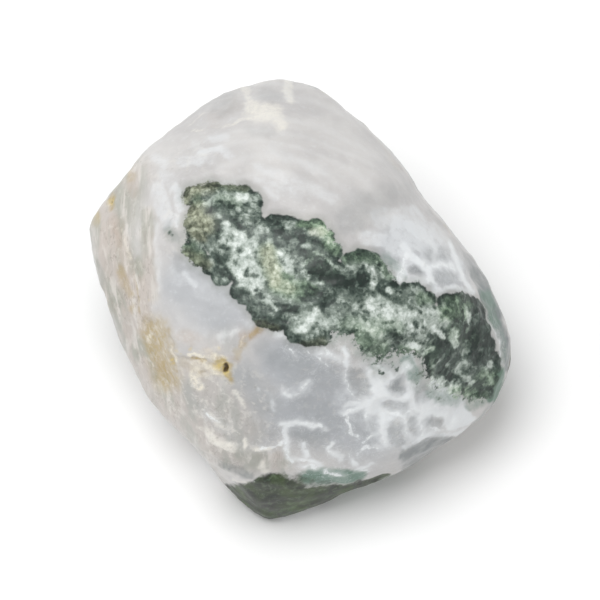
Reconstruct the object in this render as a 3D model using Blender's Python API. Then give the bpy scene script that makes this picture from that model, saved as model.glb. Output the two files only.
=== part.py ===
"""A rough piece of moss agate: one stone, broken to blunt faces and rubbed round at its edges.

The stone stands on the XY plane, +Z up, +Y to the back. Its origin is on the ground,
under the middle of its bounding box.
"""

import math

import bmesh
import bpy
from mathutils import Matrix, Vector, noise

MM = 0.001

# The girdle is the stone's widest outline. It doesn't lie level: the stone leans, back end up.
GIRDLE_TILT_DEG = 25.0

# How far under the stone's heart the flat lies that it rests on.
HEART_HEIGHT = 14.0 * MM

# Corners of the stone in the girdle's own frame, in millimetres from the heart of the stone:
# to the right, to the back along the girdle, and out of the girdle on the upper side.
GIRDLE_CORNERS = {
    "back_tip": (-0.6, 22.1, -3.0),
    "back_left": (-7.8, 20.3, -2.0),
    "left_shoulder": (-14.8, 14.6, -2.0),
    "left_tip": (-20.6, 6.6, -1.0),
    "left_low": (-14.9, -8.0, -3.0),
    "front_left": (-8.8, -13.3, -4.0),
    "front_tip": (-2.7, -22.0, -6.0),
    "front_right": (6.0, -16.0, -4.0),
    "right_low": (15.9, -13.7, -3.0),
    "right_front": (20.1, -9.4, -2.0),
    "right_tip": (21.2, -4.3, -2.0),
    "right_back": (18.9, 2.7, -3.0),
    "back_right": (5.6, 18.3, -3.0),
}
UPPER_CORNERS = {
    "flank_top": (-15.0, 12.5, 5.0),
    "flank_upper": (-13.0, 5.5, 10.0),
    "flank_middle": (-12.0, -2.5, 9.0),
    "flank_low": (-9.0, -9.5, 6.0),
    "crest_left": (-9.0, 9.5, 12.0),
    "crest": (3.0, 5.0, 13.5),
    "crest_right": (15.0, 0.5, 8.5),
    "brow_left": (-4.5, -3.5, 12.5),
    "brow_right": (5.0, -4.0, 13.0),
    "cheek_right": (13.5, -10.5, 5.0),
    "back_shoulder": (8.5, 12.0, 7.0),
    "back_dome": (-2.0, 17.0, 6.0),
    "lip_left": (-8.0, -14.4, 3.0),
    "lip": (-3.2, -16.2, 4.5),
    "lip_right": (4.8, -16.0, 3.2),
}
UNDER_CORNERS = {
    "base_front_left": (-7.5, -12.5, -12.0),
    "base_front_right": (6.5, -13.5, -11.5),
    "base_right": (13.5, -2.5, -16.5),
    "base_back": (2.5, 7.5, -21.5),
    "base_left": (-11.5, 1.5, -18.0),
    "heel_left": (-18.3, 3.6, -8.0),
    "heel_front_left": (-12.4, -8.0, -9.0),
    "heel_right": (19.2, -4.5, -8.5),
    "heel_back_right": (12.5, 9.5, -11.0),
    "heel_back": (1.0, 17.0, -14.0),
    "heel_back_left": (-11.0, 14.0, -12.0),
}

# Shallow shell-shaped chips: where each lies from the heart in the girdle's frame, in
# millimetres, the radius of the ball that would fit it, and how deep that ball bites.
CHIPS = {
    "dome": ((-3.5, 11.0, 11.0), 36.0 * MM, 0.60 * MM),
    "left_facet": ((-8.8, 0.5, 10.0), 26.0 * MM, 0.45 * MM),
    "front": ((2.0, -9.5, 9.0), 60.0 * MM, 0.45 * MM),
    "back_right": ((10.0, 9.5, 5.5), 50.0 * MM, 0.25 * MM),
    "back": ((-3.0, 17.0, -8.0), 38.0 * MM, 0.60 * MM),
    "left_heel": ((-14.0, -2.0, -8.0), 34.0 * MM, 0.50 * MM),
    "right_heel": ((15.0, -4.0, -9.0), 30.0 * MM, 0.50 * MM),
}

# Corners this nearly level with each other lie on one flat face.
FLAT_ANGLE = math.radians(3.0)

# Edges are rubbed round, those of the chips less: a higher power leaves an edge sharper.
EDGE_POWER = 34.0
CHIP_EDGE_POWER = 160.0

# Unevenness of the faces: size of the lumps and how far they stand out.
LUMPS = ((9.0 * MM, 0.35 * MM), (3.6 * MM, 0.14 * MM))

# Rows of quads along each side of the box from which the stone is blown up.
ROWS = 26

AGATE_COLOUR = (0.62, 0.63, 0.62, 1.0)


def clear_scene():
    for found in list(bpy.data.objects):
        bpy.data.objects.remove(found)


def face_planes():
    """(outward direction, distance from the heart) of each flat face between the corners."""
    hull = bmesh.new()
    for group in (GIRDLE_CORNERS, UPPER_CORNERS, UNDER_CORNERS):
        for corner in group.values():
            hull.verts.new(Vector(corner) * MM)
    bmesh.ops.convex_hull(hull, input=hull.verts)
    bmesh.ops.dissolve_limit(hull, angle_limit=FLAT_ANGLE, verts=hull.verts, edges=hull.edges)
    bmesh.ops.recalc_face_normals(hull, faces=hull.faces)
    planes = [(face.normal.copy(), face.normal.dot(face.verts[0].co)) for face in hull.faces]
    hull.free()
    return planes


def block_reach(way, planes):
    """Distance from the heart to the flat faces in one direction, with rubbed edges."""
    total = 0.0
    for normal, distance in planes:
        facing = normal.dot(way)
        if facing > 0.0:
            total += (facing / distance) ** EDGE_POWER
    return total ** (-1.0 / EDGE_POWER)


def chip_balls(planes):
    """(centre, radius) of the ball that fits each chip."""
    balls = []
    for place, radius, depth in CHIPS.values():
        way = Vector(place).normalized()
        outward = max(planes, key=lambda plane: plane[0].dot(way) / plane[1])[0]
        balls.append((way * block_reach(way, planes) + outward * (radius - depth), radius))
    return balls


def chipped_reach(way, planes, balls):
    """Distance from the heart to the stone's surface, with the chips struck out."""
    total = block_reach(way, planes) ** -CHIP_EDGE_POWER
    for centre, radius in balls:
        along = centre.dot(way)
        spread = along * along - centre.length_squared + radius * radius
        if along > 0.0 and spread > 0.0:
            total += (along - math.sqrt(spread)) ** -CHIP_EDGE_POWER
    return total ** (-1.0 / CHIP_EDGE_POWER)


def lumpiness(point):
    """How far the surface stands out from its plain faces at a point."""
    return sum(noise.noise(point / size) * height for size, height in LUMPS)


def add_stone():
    """Blows a finely divided box up to the stone's faces, leans it and cuts its resting flat."""
    stone = bmesh.new()
    bmesh.ops.create_cube(stone, size=2.0)
    bmesh.ops.subdivide_edges(stone, edges=stone.edges, cuts=ROWS - 1, use_grid_fill=True)
    planes = face_planes()
    balls = chip_balls(planes)
    for vert in stone.verts:
        # The tangent spreads the rows evenly over the ball.
        way = Vector([math.tan(side * math.pi / 4) for side in vert.co]).normalized()
        skin = way * chipped_reach(way, planes, balls)
        vert.co = skin + way * lumpiness(skin)

    lean = Matrix.Rotation(math.radians(GIRDLE_TILT_DEG), 3, "X")
    bmesh.ops.rotate(stone, verts=stone.verts, cent=(0, 0, 0), matrix=lean)
    cut = bmesh.ops.bisect_plane(
        stone,
        geom=stone.verts[:] + stone.edges[:] + stone.faces[:],
        plane_co=(0, 0, -HEART_HEIGHT),
        plane_no=(0, 0, 1),
        clear_inner=True,
    )
    rim = [item for item in cut["geom_cut"] if isinstance(item, bmesh.types.BMEdge)]
    bmesh.ops.edgeloop_fill(stone, edges=rim)
    bmesh.ops.recalc_face_normals(stone, faces=stone.faces)
    for face in stone.faces:
        face.smooth = True
    for edge in rim:
        edge.smooth = False

    low = [min(vert.co[axis] for vert in stone.verts) for axis in range(3)]
    high = [max(vert.co[axis] for vert in stone.verts) for axis in range(3)]
    middle = Vector(((low[0] + high[0]) / 2, (low[1] + high[1]) / 2, low[2]))
    bmesh.ops.translate(stone, verts=stone.verts, vec=-middle)

    mesh = bpy.data.meshes.new("moss_agate")
    stone.to_mesh(mesh)
    stone.free()
    placed = bpy.data.objects.new("moss_agate", mesh)
    bpy.context.scene.collection.objects.link(placed)
    return placed


def agate_material():
    """Milky chalcedony with a waxy shine."""
    material = bpy.data.materials.new("moss_agate")
    material.use_nodes = True
    shader = material.node_tree.nodes["Principled BSDF"]
    shader.inputs["Base Color"].default_value = AGATE_COLOUR
    shader.inputs["Roughness"].default_value = 0.42
    shader.inputs["Metallic"].default_value = 0.0
    return material


clear_scene()
agate = add_stone()
agate.data.materials.append(agate_material())
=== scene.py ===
import math

import bpy
import numpy as np
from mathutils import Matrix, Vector, noise


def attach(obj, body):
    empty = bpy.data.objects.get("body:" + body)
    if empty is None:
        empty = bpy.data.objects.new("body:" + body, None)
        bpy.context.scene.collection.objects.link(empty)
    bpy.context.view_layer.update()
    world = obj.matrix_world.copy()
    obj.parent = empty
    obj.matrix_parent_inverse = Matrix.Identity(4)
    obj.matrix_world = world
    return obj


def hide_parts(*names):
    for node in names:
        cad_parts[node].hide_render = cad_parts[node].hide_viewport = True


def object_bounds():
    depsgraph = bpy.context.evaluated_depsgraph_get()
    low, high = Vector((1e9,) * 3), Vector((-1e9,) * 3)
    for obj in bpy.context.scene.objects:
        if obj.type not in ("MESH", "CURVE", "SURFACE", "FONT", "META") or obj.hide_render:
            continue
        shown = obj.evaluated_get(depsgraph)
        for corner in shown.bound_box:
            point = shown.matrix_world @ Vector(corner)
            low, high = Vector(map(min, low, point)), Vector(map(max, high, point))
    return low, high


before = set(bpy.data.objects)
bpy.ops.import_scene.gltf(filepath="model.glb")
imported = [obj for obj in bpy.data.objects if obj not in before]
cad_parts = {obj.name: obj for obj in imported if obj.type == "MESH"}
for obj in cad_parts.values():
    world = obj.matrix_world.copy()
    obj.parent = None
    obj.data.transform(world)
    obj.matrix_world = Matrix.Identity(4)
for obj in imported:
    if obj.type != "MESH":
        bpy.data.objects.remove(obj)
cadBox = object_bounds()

mm = 0.001
print("frame loaded")


# where the camera stands: the marks on the stone are placed as it sees them

view = {
    "elevation": 65.0,      # steep, nearly from above
    "distance": 0.62,
    "width": 0.0564,        # of the picture, at the stone
    "sensor": 36.0,
    "aimHeight": 13 * mm,   # of the point looked at, along the line of sight
    "facing": 0.05,         # a surface that faces the camera more than this can be marked from there
}

tilt = math.radians(view["elevation"])
rightWay = Vector((1, 0, 0))
upWay = Vector((0, math.sin(tilt), math.cos(tilt)))
nearWay = Vector((0, -math.cos(tilt), math.sin(tilt)))


# the stone's surface, rebuilt finely from the solid

stone = {
    "weld": 0.002 * mm,
    "voxel": 0.31 * mm,
    "smoothFactor": 0.5,
    "smoothing": 8,
    "lastSmoothing": 2,
    # where the marks need a closer mesh: right, up, right, up, reach
    "closer": (
        (-8.5, 7.5, -2, 3, 5.2), (-2, 3, 8, 0, 5.6), (8, 0, 16.5, -5.5, 5.4), (1, -8, 13, -10, 4.6),
        (-7.5, -5.5, -12.5, -5, 2.4), (0, -12.5, 6, -14, 3.4),
    ),
}


def deselectAll():
    if bpy.context.mode != "OBJECT":
        bpy.ops.object.mode_set(mode="OBJECT")
    bpy.ops.object.select_all(action="DESELECT")


def takeCopy(node, name):
    deselectAll()
    piece = bpy.data.objects.new(name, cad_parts[node].data.copy())
    bpy.context.scene.collection.objects.link(piece)
    piece.select_set(True)
    bpy.context.view_layer.objects.active = piece
    bpy.ops.object.mode_set(mode="EDIT")
    bpy.ops.mesh.select_all(action="SELECT")
    bpy.ops.mesh.remove_doubles(threshold=stone["weld"])
    bpy.ops.object.mode_set(mode="OBJECT")
    return piece


def applyModifier(piece, kind, **settings):
    modifier = piece.modifiers.new(kind.lower(), kind)
    for key, value in settings.items():
        setattr(modifier, key, value)
    bpy.ops.object.modifier_apply(modifier=modifier.name)


def readVectors(collection, key):
    flat = np.empty(len(collection) * 3)
    collection.foreach_get(key, flat)
    return flat.reshape(-1, 3)


def asSeen(points):     # right, up and near in mm, from the middle of the outline
    solid = readVectors(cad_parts["moss_agate"].data.vertices, "co") / mm
    spans = [(solid @ np.array(way)) for way in (rightWay, upWay)]
    middle = [(span.min() + span.max()) / 2 for span in spans]
    seen = np.stack([points @ np.array(way) for way in (rightWay, upWay, nearWay)], axis=1)
    return seen - (middle[0], middle[1], 0), middle


def selectCloser(piece):
    centres = readVectors(piece.data.polygons, "center") / mm
    outward = readVectors(piece.data.polygons, "normal")
    seen, _ = asSeen(centres)
    chosen = np.zeros(len(centres), bool)
    for right, up, right2, up2, reach in stone["closer"]:
        start, along = np.array((right, up)), np.array((right2 - right, up2 - up))
        share = np.clip(((seen[:, :2] - start) @ along) / (along @ along), 0, 1)
        chosen |= np.linalg.norm(seen[:, :2] - start - share[:, None] * along, axis=1) < reach
    chosen &= outward @ np.array(nearWay) > view["facing"]
    bpy.ops.object.mode_set(mode="EDIT")
    bpy.ops.mesh.select_mode(type="FACE")
    bpy.ops.mesh.select_all(action="DESELECT")
    bpy.ops.object.mode_set(mode="OBJECT")
    piece.data.polygons.foreach_set("select", chosen)


agate = takeCopy("moss_agate", "agateStone")
applyModifier(agate, "SUBSURF", levels=1, render_levels=1)
applyModifier(agate, "REMESH", mode="VOXEL", voxel_size=stone["voxel"], adaptivity=0.0)
applyModifier(agate, "SMOOTH", factor=stone["smoothFactor"], iterations=stone["smoothing"])
selectCloser(agate)
bpy.ops.object.mode_set(mode="EDIT")
bpy.ops.mesh.subdivide(number_cuts=1)
bpy.ops.object.mode_set(mode="OBJECT")
applyModifier(agate, "SMOOTH", factor=stone["smoothFactor"], iterations=stone["lastSmoothing"])
triangles = sum(len(face.vertices) - 2 for face in agate.data.polygons)
print("surface rebuilt:", triangles, "triangles")

places = readVectors(agate.data.vertices, "co") / mm          # in millimetres
normals = readVectors(agate.data.vertices, "normal")
seen, (middleRight, middleUp) = asSeen(places)
facing = normals @ np.array(nearWay)
towardCamera = seen[facing > view["facing"]]


# the ground that the marks are laid on, slightly shaken, so that none has a ruled edge

ground = {
    "seed": 7,
    "shakes": ((1.9, 0.30), (0.75, 0.20), (0.33, 0.10)),       # size and reach
    "depthShare": 0.3,          # how much depth counts in the distance from a stroke
    # how far a soft stroke reaches and how wide its border is, in radii
    "softReach": 1.55,
    "softBorder": 1.15,
    "firmBorder": 0.50,         # in mm
    "roughness": (0.6, 2.1),    # of the fine noise: fading and spacing from one layer to the next
}


def noiseShift(seed):
    return Vector((seed * 17.3, seed * 5.1, seed * 29.7))


def lattice(size, seed):
    shift = noiseShift(seed)
    return np.array([noise.noise_vector(Vector(point) / size + shift) for point in places])


def roughness3d(size, seed, detail=1):
    shift = noiseShift(seed)
    fading, spacing = ground["roughness"]
    return np.array([noise.fractal(Vector(p) / size + shift, fading, spacing, detail) for p in places])


noise.seed_set(ground["seed"])
shaken = seen
for seed, (size, reach) in enumerate(ground["shakes"], 1):
    shaken = shaken + reach * lattice(size, seed)


# marks are strokes in mm, from the middle of the outline: right, up, right, up, radius, strength

def depthAt(right, up):
    away = np.hypot(towardCamera[:, 0] - right, towardCamera[:, 1] - up)
    return towardCamera[away.argmin(), 2]


def strokeDistance(right, up, right2, up2, where=shaken):
    deep = ground["depthShare"]
    start = np.array((right, up, depthAt(right, up) * deep))
    end = np.array((right2, up2, depthAt(right2, up2) * deep))
    points = where * (1, 1, deep)
    along = end - start
    share = np.clip(((points - start) @ along) / max(along @ along, 1e-9), 0, 1)
    return np.linalg.norm(points - start - share[:, None] * along, axis=1), share


def eased(share):
    share = np.clip(share, 0, 1)
    return share * share * (3 - 2 * share)


def softMask(distance, radius):
    return eased((ground["softReach"] * radius - distance) / (ground["softBorder"] * radius))


def firmMask(distance, radius):
    return eased((radius - distance) / ground["firmBorder"] + 0.5)


def paint(strokes, mask=softMask):
    field = np.zeros(len(places))
    for right, up, right2, up2, radius, strength in strokes:
        distance, _ = strokeDistance(right, up, right2, up2)
        field = np.maximum(field, mask(distance, radius) * strength)
    return field


moss = {
    "farOutside": -9.0,
    "fillet": 0.18,             # where lobes meet
    "wildBorder": 0.4,          # over which the moss in view passes into that on the hidden sides
    # round lobes along the rim of the figure: right, up, radius
    "lobes": (
        (-10.2, 9.7, 1), (-9.3, 9.7, 1.15), (-8.1, 9.95, 1.25), (-6.6, 9.6, 1.25), (-5.3, 9.6, 1.15),
        (-4.4, 9.1, 1.05), (-4.4, 8, 1), (-10, 7.2, 0.85), (-9.7, 6, 1), (-9.9, 4.7, 1.1), (-9.4, 4, 1),
        (-8.2, 3.2, 1.05), (-7.2, 2.3, 1.1), (-5.6, 0.9, 0.95), (-5, 0.4, 0.9), (-4, -0.6, 1),
        (-3.3, -1.4, 1.2), (-2.2, -1.8, 1.15), (-0.4, -2.9, 1.1), (0.8, -3, 1.4), (2, -3, 1.3),
        (-2.3, 7, 1.05), (-1.1, 6.8, 1.1), (0.2, 6.4, 1.05), (1.3, 6.2, 1.35), (2.2, 5.6, 1.1),
        (2.9, 4.4, 1.1), (4.7, 3.5, 1), (5.7, 3.4, 1.4), (6.7, 3.3, 1.15), (7.3, 2.8, 1), (7.7, 1.8, 1.1),
        (8.5, 0.9, 1), (9.7, 0.6, 1.1), (10.8, 0.4, 1.35), (11.9, 0, 0.95), (13.8, -0.3, 1.05),
        (15, -0.7, 1.5), (16.1, -1.2, 1.55), (16.6, -2.8, 1.35), (17.1, -4.3, 1.25), (17.5, -5.9, 1.45),
        (17.2, -7.3, 1.45), (16.3, -8.6, 1.2), (14.9, -7.5, 1), (12.8, -6.3, 1.35), (12.3, -5.6, 1.1),
        (10.3, -4, 1.05), (9.2, -4.2, 1.1), (7.7, -4.4, 1.25), (6.5, -4.3, 1.2), (5.8, -3.5, 0.95),
        (4, -2.5, 1.1), (1.2, 4.9, 1.2), (0.6, 5.9, 0.8), (-0.5, 5.6, 1), (12.5, -7.5, 0.75), (13.6, -7.9, 1),
        (14.7, -8.5, 0.95), (17.4, -8.7, 0.9), (-11.7, 6, 0.22), (-11.95, 6.25, 0.16), (7.3, -6.6, 0.25),
        (7.7, -6.75, 0.2), (8.5, -6.1, 0.28), (8.85, -6.35, 0.24), (12.4, -8.8, 0.24), (13.4, -9.35, 0.2),
        (7.1, -5.7, 0.4), (11.2, -6.9, 0.4), (10.9, -7.6, 0.28),
    ),
    # the body of the figure between them: right, up, right, up, radius, radius
    "body": (
        (-8.3, 7.6, -5.5, 5.5, 2.4, 3), (-5.5, 5.5, -2.5, 2.5, 3, 3.5), (-2.5, 2.5, 1, 1, 3.5, 3.5),
        (1, 1, 4.5, 0, 3.5, 2.9), (4.5, 0, 8, -1.2, 2.9, 2.7), (8, -1.2, 12, -3, 2.7, 2.6),
        (12, -3, 15.4, -5, 2.6, 2.6), (15.4, -5, 16.2, -7, 2.6, 2),
    ),
    "plainTone": 0.34,
    # light and dark laid over each other in this order: right, up, right, up, radius, lightness
    "tones": (
        (-6.2, 5.6, -4.4, 1.8, 1.3, 0.8), (-2.6, 4, -0.8, 1, 1.3, 0.66), (-8.6, 9.3, -4.8, 9.2, 0.8, 0.56),
        (6.2, -0.6, 12.4, -1.4, 1, 0.8), (5.2, -2.4, 12, -2.5, 0.9, 0.74), (5.4, -3.4, 8, -3.6, 0.8, 0.46),
        (0.2, -2, 3.6, -1.8, 0.9, 0.58), (9.4, -3.6, 11.6, -4, 0.7, 0.52), (14.6, -2.6, 17.4, -4.6, 1.6, 0.2),
        (12.4, -4.4, 14.6, -7, 1.2, 0.22), (1, 3.4, 5.6, 1.4, 1, 0.16), (-2.6, 6.6, 0.6, 5.6, 1, 0.26),
        (14, -0.4, 16.6, -1.4, 0.9, 0.28), (0.4, 0.8, 1.8, 0, 0.7, 0.16), (-3.6, -1.6, -1.8, -2, 0.9, 0.22),
        (-10.4, 10.2, -8.2, 10.8, 0.6, 0.42), (-8.2, 10.8, -4.8, 10.4, 0.4, 0.36),
        (-10.8, 9.5, -10.6, 7.2, 0.4, 0.45), (-10.7, 9.4, -10.5, 9.3, 0.25, 0.58),
        (-9.7, 9.7, -9.6, 9.1, 0.3, 0.34), (-8.8, 9, -7.2, 9.3, 0.35, 0.6), (-7.2, 9.3, -5.6, 9.5, 0.5, 0.66),
        (-5.6, 9.5, -5, 9.7, 0.3, 1), (-8.6, 8.2, -7.4, 8.7, 0.38, 0.22), (-7.4, 8.7, -6.2, 8.5, 0.35, 0.16),
        (-4.9, 8.9, -4.3, 8, 0.5, 0.48), (-5.7, 8.4, -4.7, 8.3, 0.3, 0.74), (-4.2, 9.9, -3.9, 9.2, 0.45, 0.4),
        (-3.9, 9, -3.7, 8.7, 0.3, 0.26), (-4.6, 7.9, -4.6, 7.1, 0.3, 0.66), (-4, 7.5, -3.9, 7.2, 0.3, 0.16),
        (-9.9, 7.9, -8.9, 7.2, 1, 0.6), (-9.4, 8.2, -8.8, 7.8, 0.4, 0.64), (-9.9, 6.5, -9.3, 6.4, 0.45, 0.4),
        (-7.6, 7.7, -7.4, 7.7, 0.22, 0.8), (-6.8, 7.5, -5.9, 7.2, 0.32, 0.26),
        (-8.6, 6.2, -8.4, 6.3, 0.2, 0.72), (-9.4, 5.6, -8.2, 5.7, 0.6, 0.31),
        (-8.2, 5.7, -7.6, 6.1, 0.4, 0.26), (-9.8, 4.7, -9, 4.9, 0.6, 0.36), (-9.5, 4.3, -9.4, 4.1, 0.3, 0.32),
        (-10.2, 4.1, -9.4, 3.4, 0.4, 0.44), (-10.4, 4.2, -10.2, 4.2, 0.15, 0.75),
        (-8.5, 4.4, -8.1, 3.6, 0.45, 0.5), (-7.7, 5, -7.2, 4.3, 0.35, 0.52),
        (-6.4, 5.8, -4.7, 5.1, 0.9, 0.84), (-4.9, 4.9, -4.4, 3.7, 0.8, 0.86),
        (-5.9, 3.6, -5.3, 2, 0.65, 0.84), (-6.9, 6.9, -6.5, 6.4, 0.38, 0.9), (-4, 3, -4.2, 1.1, 0.55, 0.88),
        (-4.2, 0.95, -4, 0.8, 0.25, 1), (-7, 4.9, -6.8, 4.7, 0.3, 0.18), (-7.7, 3.7, -6.8, 3.9, 0.36, 0.18),
        (-7.9, 3.2, -6.9, 3, 0.18, 0.52), (-5.9, 7.2, -5, 6.4, 0.3, 0.08), (-5, 6.4, -4.4, 5.95, 0.2, 0.16),
        (-4.85, 2.6, -4.75, 2.3, 0.26, 0.02), (-4.4, 2.5, -4.1, 2.3, 0.2, 0.28),
        (-5.9, 4.5, -5.6, 4.3, 0.18, 0.5), (-4.2, 4.4, -4.3, 5.2, 0.17, 0.5),
        (-3.6, 5.1, -3.6, 4.9, 0.15, 0.46), (-6.1, 3.5, -6, 3.4, 0.14, 0.56),
        (-4.8, 1.9, -4.6, 1.4, 0.15, 0.66), (-8.5, 2.7, -7.3, 2.6, 0.5, 0.18),
        (-7.3, 2.6, -6.3, 1.7, 0.45, 0.18), (-7.7, 1.9, -6.6, 1.5, 0.3, 0.38),
        (-6.1, 0.5, -5.2, 0.6, 0.42, 0.14), (-5.2, 0.1, -4.6, -0.5, 0.35, 0.22),
        (-5, 0.9, -4.5, 0.5, 0.2, 0.34), (-4, -0.5, -3.6, -0.1, 0.25, 0.22),
        (-3.9, 0.9, -3.6, 0.1, 0.28, 0.34), (-3, 1.55, -2.9, 1.4, 0.3, 0.3), (-2.9, 4.6, -2.7, 3, 0.6, 0.76),
        (-2.7, 3, -2.3, 1.8, 0.6, 0.8), (-2, 1.4, -0.6, 1.2, 0.7, 0.7), (-2.9, 0.3, -0.9, 0.4, 0.4, 0.68),
        (-1.5, 2, -0.7, 2.1, 0.2, 0.36), (-1.9, 4.3, -1.5, 4.15, 0.24, 1), (-1.4, 4, -0.9, 3.4, 0.34, 0.84),
        (-1.9, 2.8, -0.8, 2.7, 0.4, 0.84), (0.1, 3.5, 0.4, 3.3, 0.33, 0.76), (0.4, 2.6, 0.7, 2, 0.22, 0.78),
        (-1.7, 3.6, -1.5, 3.2, 0.2, 0.38), (-0.3, 2.9, -0.1, 2.6, 0.2, 0.26),
        (-2.9, 7.7, -1, 7.7, 0.42, 0.18), (-2.4, 6.5, -1, 6, 0.75, 0.16), (-1, 6, 0.4, 5.5, 0.7, 0.16),
        (-0.9, 6.35, 0, 6.2, 0.28, 0.12), (-1.8, 5.3, -0.2, 5, 0.5, 0.2), (-1.1, 7, -0.5, 6.85, 0.3, 0.66),
        (-3.2, 6.8, -3, 6, 0.35, 0.44), (-3.9, 6.4, -3.7, 6.2, 0.3, 0.7), (0.4, 5, 1.1, 5, 0.28, 0.68),
        (0.2, 4.4, 0.9, 4.3, 0.28, 0.04), (0.3, 6.9, 1.6, 7.2, 0.32, 0.38), (1.6, 7.2, 2.5, 6.5, 0.3, 0.42),
        (2.5, 6.5, 2.9, 5.9, 0.25, 0.46), (1.1, 6.2, 2, 6.3, 0.35, 0.74), (2, 6.3, 2.8, 5.4, 0.4, 0.76),
        (0.3, 7.55, 0.4, 7.5, 0.2, 1), (1.2, 5.8, 2, 5, 0.2, 0.22), (1.3, 3.7, 2.3, 2.5, 0.9, 0.08),
        (1.2, 4.3, 2.1, 4.9, 0.3, 0.18), (1.5, 4.5, 2.3, 4, 0.12, 0.56), (2.3, 4, 2.9, 3.4, 0.12, 0.5),
        (2.6, 4.9, 3.3, 4.5, 0.4, 0.42), (0.3, 0.6, 1.9, 0.4, 0.5, 0.1), (0.3, 0.2, 0.8, -0.1, 0.3, 0.16),
        (1.8, 0.2, 1.9, -0.6, 0.35, 0.06), (1.1, 1.6, 2, 1.6, 0.2, 0.68), (1.5, 1.2, 2.3, 0.5, 0.14, 0.46),
        (0.4, 1.4, 1.1, 1, 0.3, 0.26), (-0.3, 1, 0.1, 0.8, 0.3, 0.52), (-2.2, -0.5, -1.2, -0.7, 0.36, 0.06),
        (-1.2, -0.7, -0.2, -0.9, 0.3, 0.1), (-3.3, -0.1, -2.4, -0.9, 0.2, 0.76),
        (-3.8, -0.8, -3, -0.8, 0.18, 0.52), (-4.3, -1.3, -3.2, -1.2, 0.5, 0.22),
        (-3.6, -2.1, -2.2, -2.4, 0.5, 0.2), (-2.5, -1.5, -1.7, -2, 0.45, 0.2),
        (-1.4, -1.4, -0.3, -1.8, 0.32, 0.66), (-0.9, -2.3, -0.6, -2.5, 0.4, 0.5),
        (1.4, -1, 0.9, -1.9, 0.4, 0.9), (0.8, -2, 0.2, -2.6, 0.42, 0.98), (1.6, -3.2, 1.5, -2.9, 0.24, 0.88),
        (1.9, -2.5, 3.4, -2.1, 0.26, 0.64), (-1, -3, -0.3, -3.6, 0.35, 0.2), (0.4, -4, 2, -4, 0.35, 0.22),
        (0.8, -3.5, 1, -3.4, 0.3, 0.42), (4.3, 3.9, 5.6, 4.3, 0.42, 0.28), (5.6, 4.2, 7.2, 4, 0.45, 0.36),
        (7.2, 4, 8.2, 3.2, 0.4, 0.36), (7.6, 3.2, 8.2, 2.5, 0.45, 0.42), (3.2, 2, 4.6, 1.7, 0.6, -0.1),
        (4.6, 1.7, 5.6, 1.9, 0.55, -0.1), (5.8, 2.9, 6, 2.2, 0.35, 0.12), (5, 1.2, 5.7, 0.6, 0.55, 0.2),
        (5.3, 0, 5.8, -0.4, 0.4, 0.36), (4.2, 2.9, 5.2, 3.1, 0.16, 0.66), (5.2, 3.1, 6, 3.5, 0.14, 0.56),
        (6, 3.5, 6.6, 2.7, 0.16, 0.6), (6.6, 2.7, 6.7, 1.2, 0.2, 0.62), (4.3, 2.8, 4.9, 2.6, 0.28, 0.7),
        (5.55, 2.6, 5.65, 2.45, 0.12, 0.5), (7.5, 2.4, 7.7, 2.2, 0.2, 0.7), (7.3, 1.4, 8.6, 1.6, 0.45, 0.12),
        (7.5, 0.9, 8.1, 0.5, 0.3, 0.14), (8.35, 0.95, 8.45, 0.75, 0.22, 0.86),
        (9.1, 0.5, 9.2, 0.5, 0.12, 0.64), (9.2, 1.3, 10.6, 1.5, 0.38, 0.2), (10.6, 1.5, 12, 0.9, 0.35, 0.2),
        (9.8, 0.9, 11.2, 0.9, 0.35, 0.38), (8.3, 0.1, 9.3, 0, 0.32, 0.28), (11, 0.3, 12.2, 0.3, 0.32, 0.34),
        (13.2, 0.5, 14.6, 0.6, 0.32, 0.14), (14.6, 0.6, 16.2, 0.3, 0.3, 0.18),
        (13.9, -0.1, 15.4, -0.2, 0.4, 0.26), (13.6, -1.3, 14.8, -1.3, 0.6, 0.28),
        (16.4, -0.2, 17.3, -1.7, 0.45, 0.12), (16.6, -2.4, 17, -2.8, 0.6, 0.06),
        (15.4, -0.9, 15.6, -1.8, 0.28, 0.72), (15.7, -1.9, 16, -2.4, 0.16, 0.66),
        (16.4, -1.3, 16.6, -1.3, 0.14, 0.44), (13.3, -0.4, 13.2, -0.9, 0.24, 0.66),
        (6.3, 0.2, 6.9, -0.3, 0.4, 0.64), (6.7, -0.7, 9, -1.5, 0.7, 0.92), (9, -1.5, 11, -1.8, 0.7, 0.92),
        (10.1, -0.1, 11.6, -0.6, 0.25, 0.84), (11.6, -0.6, 12.7, -1.3, 0.3, 0.8),
        (12.9, -1.9, 13.5, -2.3, 0.45, 0.8), (12.4, -2.4, 13, -3.2, 0.16, 0.92),
        (13, -3.2, 13.5, -3.7, 0.16, 0.88), (3.2, 0.3, 3.3, -0.2, 0.25, 0.3),
        (3.7, 0.4, 3.8, -0.4, 0.16, 0.6), (4.4, 0, 4.5, -0.6, 0.3, 0.36), (3, -1.4, 4.4, -1.8, 0.6, 0.5),
        (2.8, -3.2, 3.7, -2.9, 0.3, 0.38), (4.2, -2.9, 4.8, -3.5, 0.35, 0.26),
        (6.05, -1.2, 6.35, -1.3, 0.22, 0.12), (5.8, -1.6, 5.9, -1.7, 0.18, 0.26),
        (7.5, -0.8, 7.8, -0.8, 0.2, 0.48), (9.9, -0.5, 10.2, -0.7, 0.22, 0.26),
        (11, -1, 11.1, -1.1, 0.2, 0.3), (10.6, -2.3, 10.8, -2.5, 0.24, 0.26),
        (11.4, -2.6, 11.6, -2.6, 0.2, 0.34), (7.8, -2.2, 8.5, -2, 0.2, 0.34), (8.6, -0.9, 8.8, -1, 0.15, 0.5),
        (9.6, -2.3, 9.8, -2.2, 0.16, 0.46), (12.6, -0.6, 12.6, -0.8, 0.14, 0.36),
        (5.5, -2.7, 6.9, -2.6, 0.38, 0.84), (7.1, -3.1, 7.3, -3.3, 0.28, 0.8),
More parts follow.
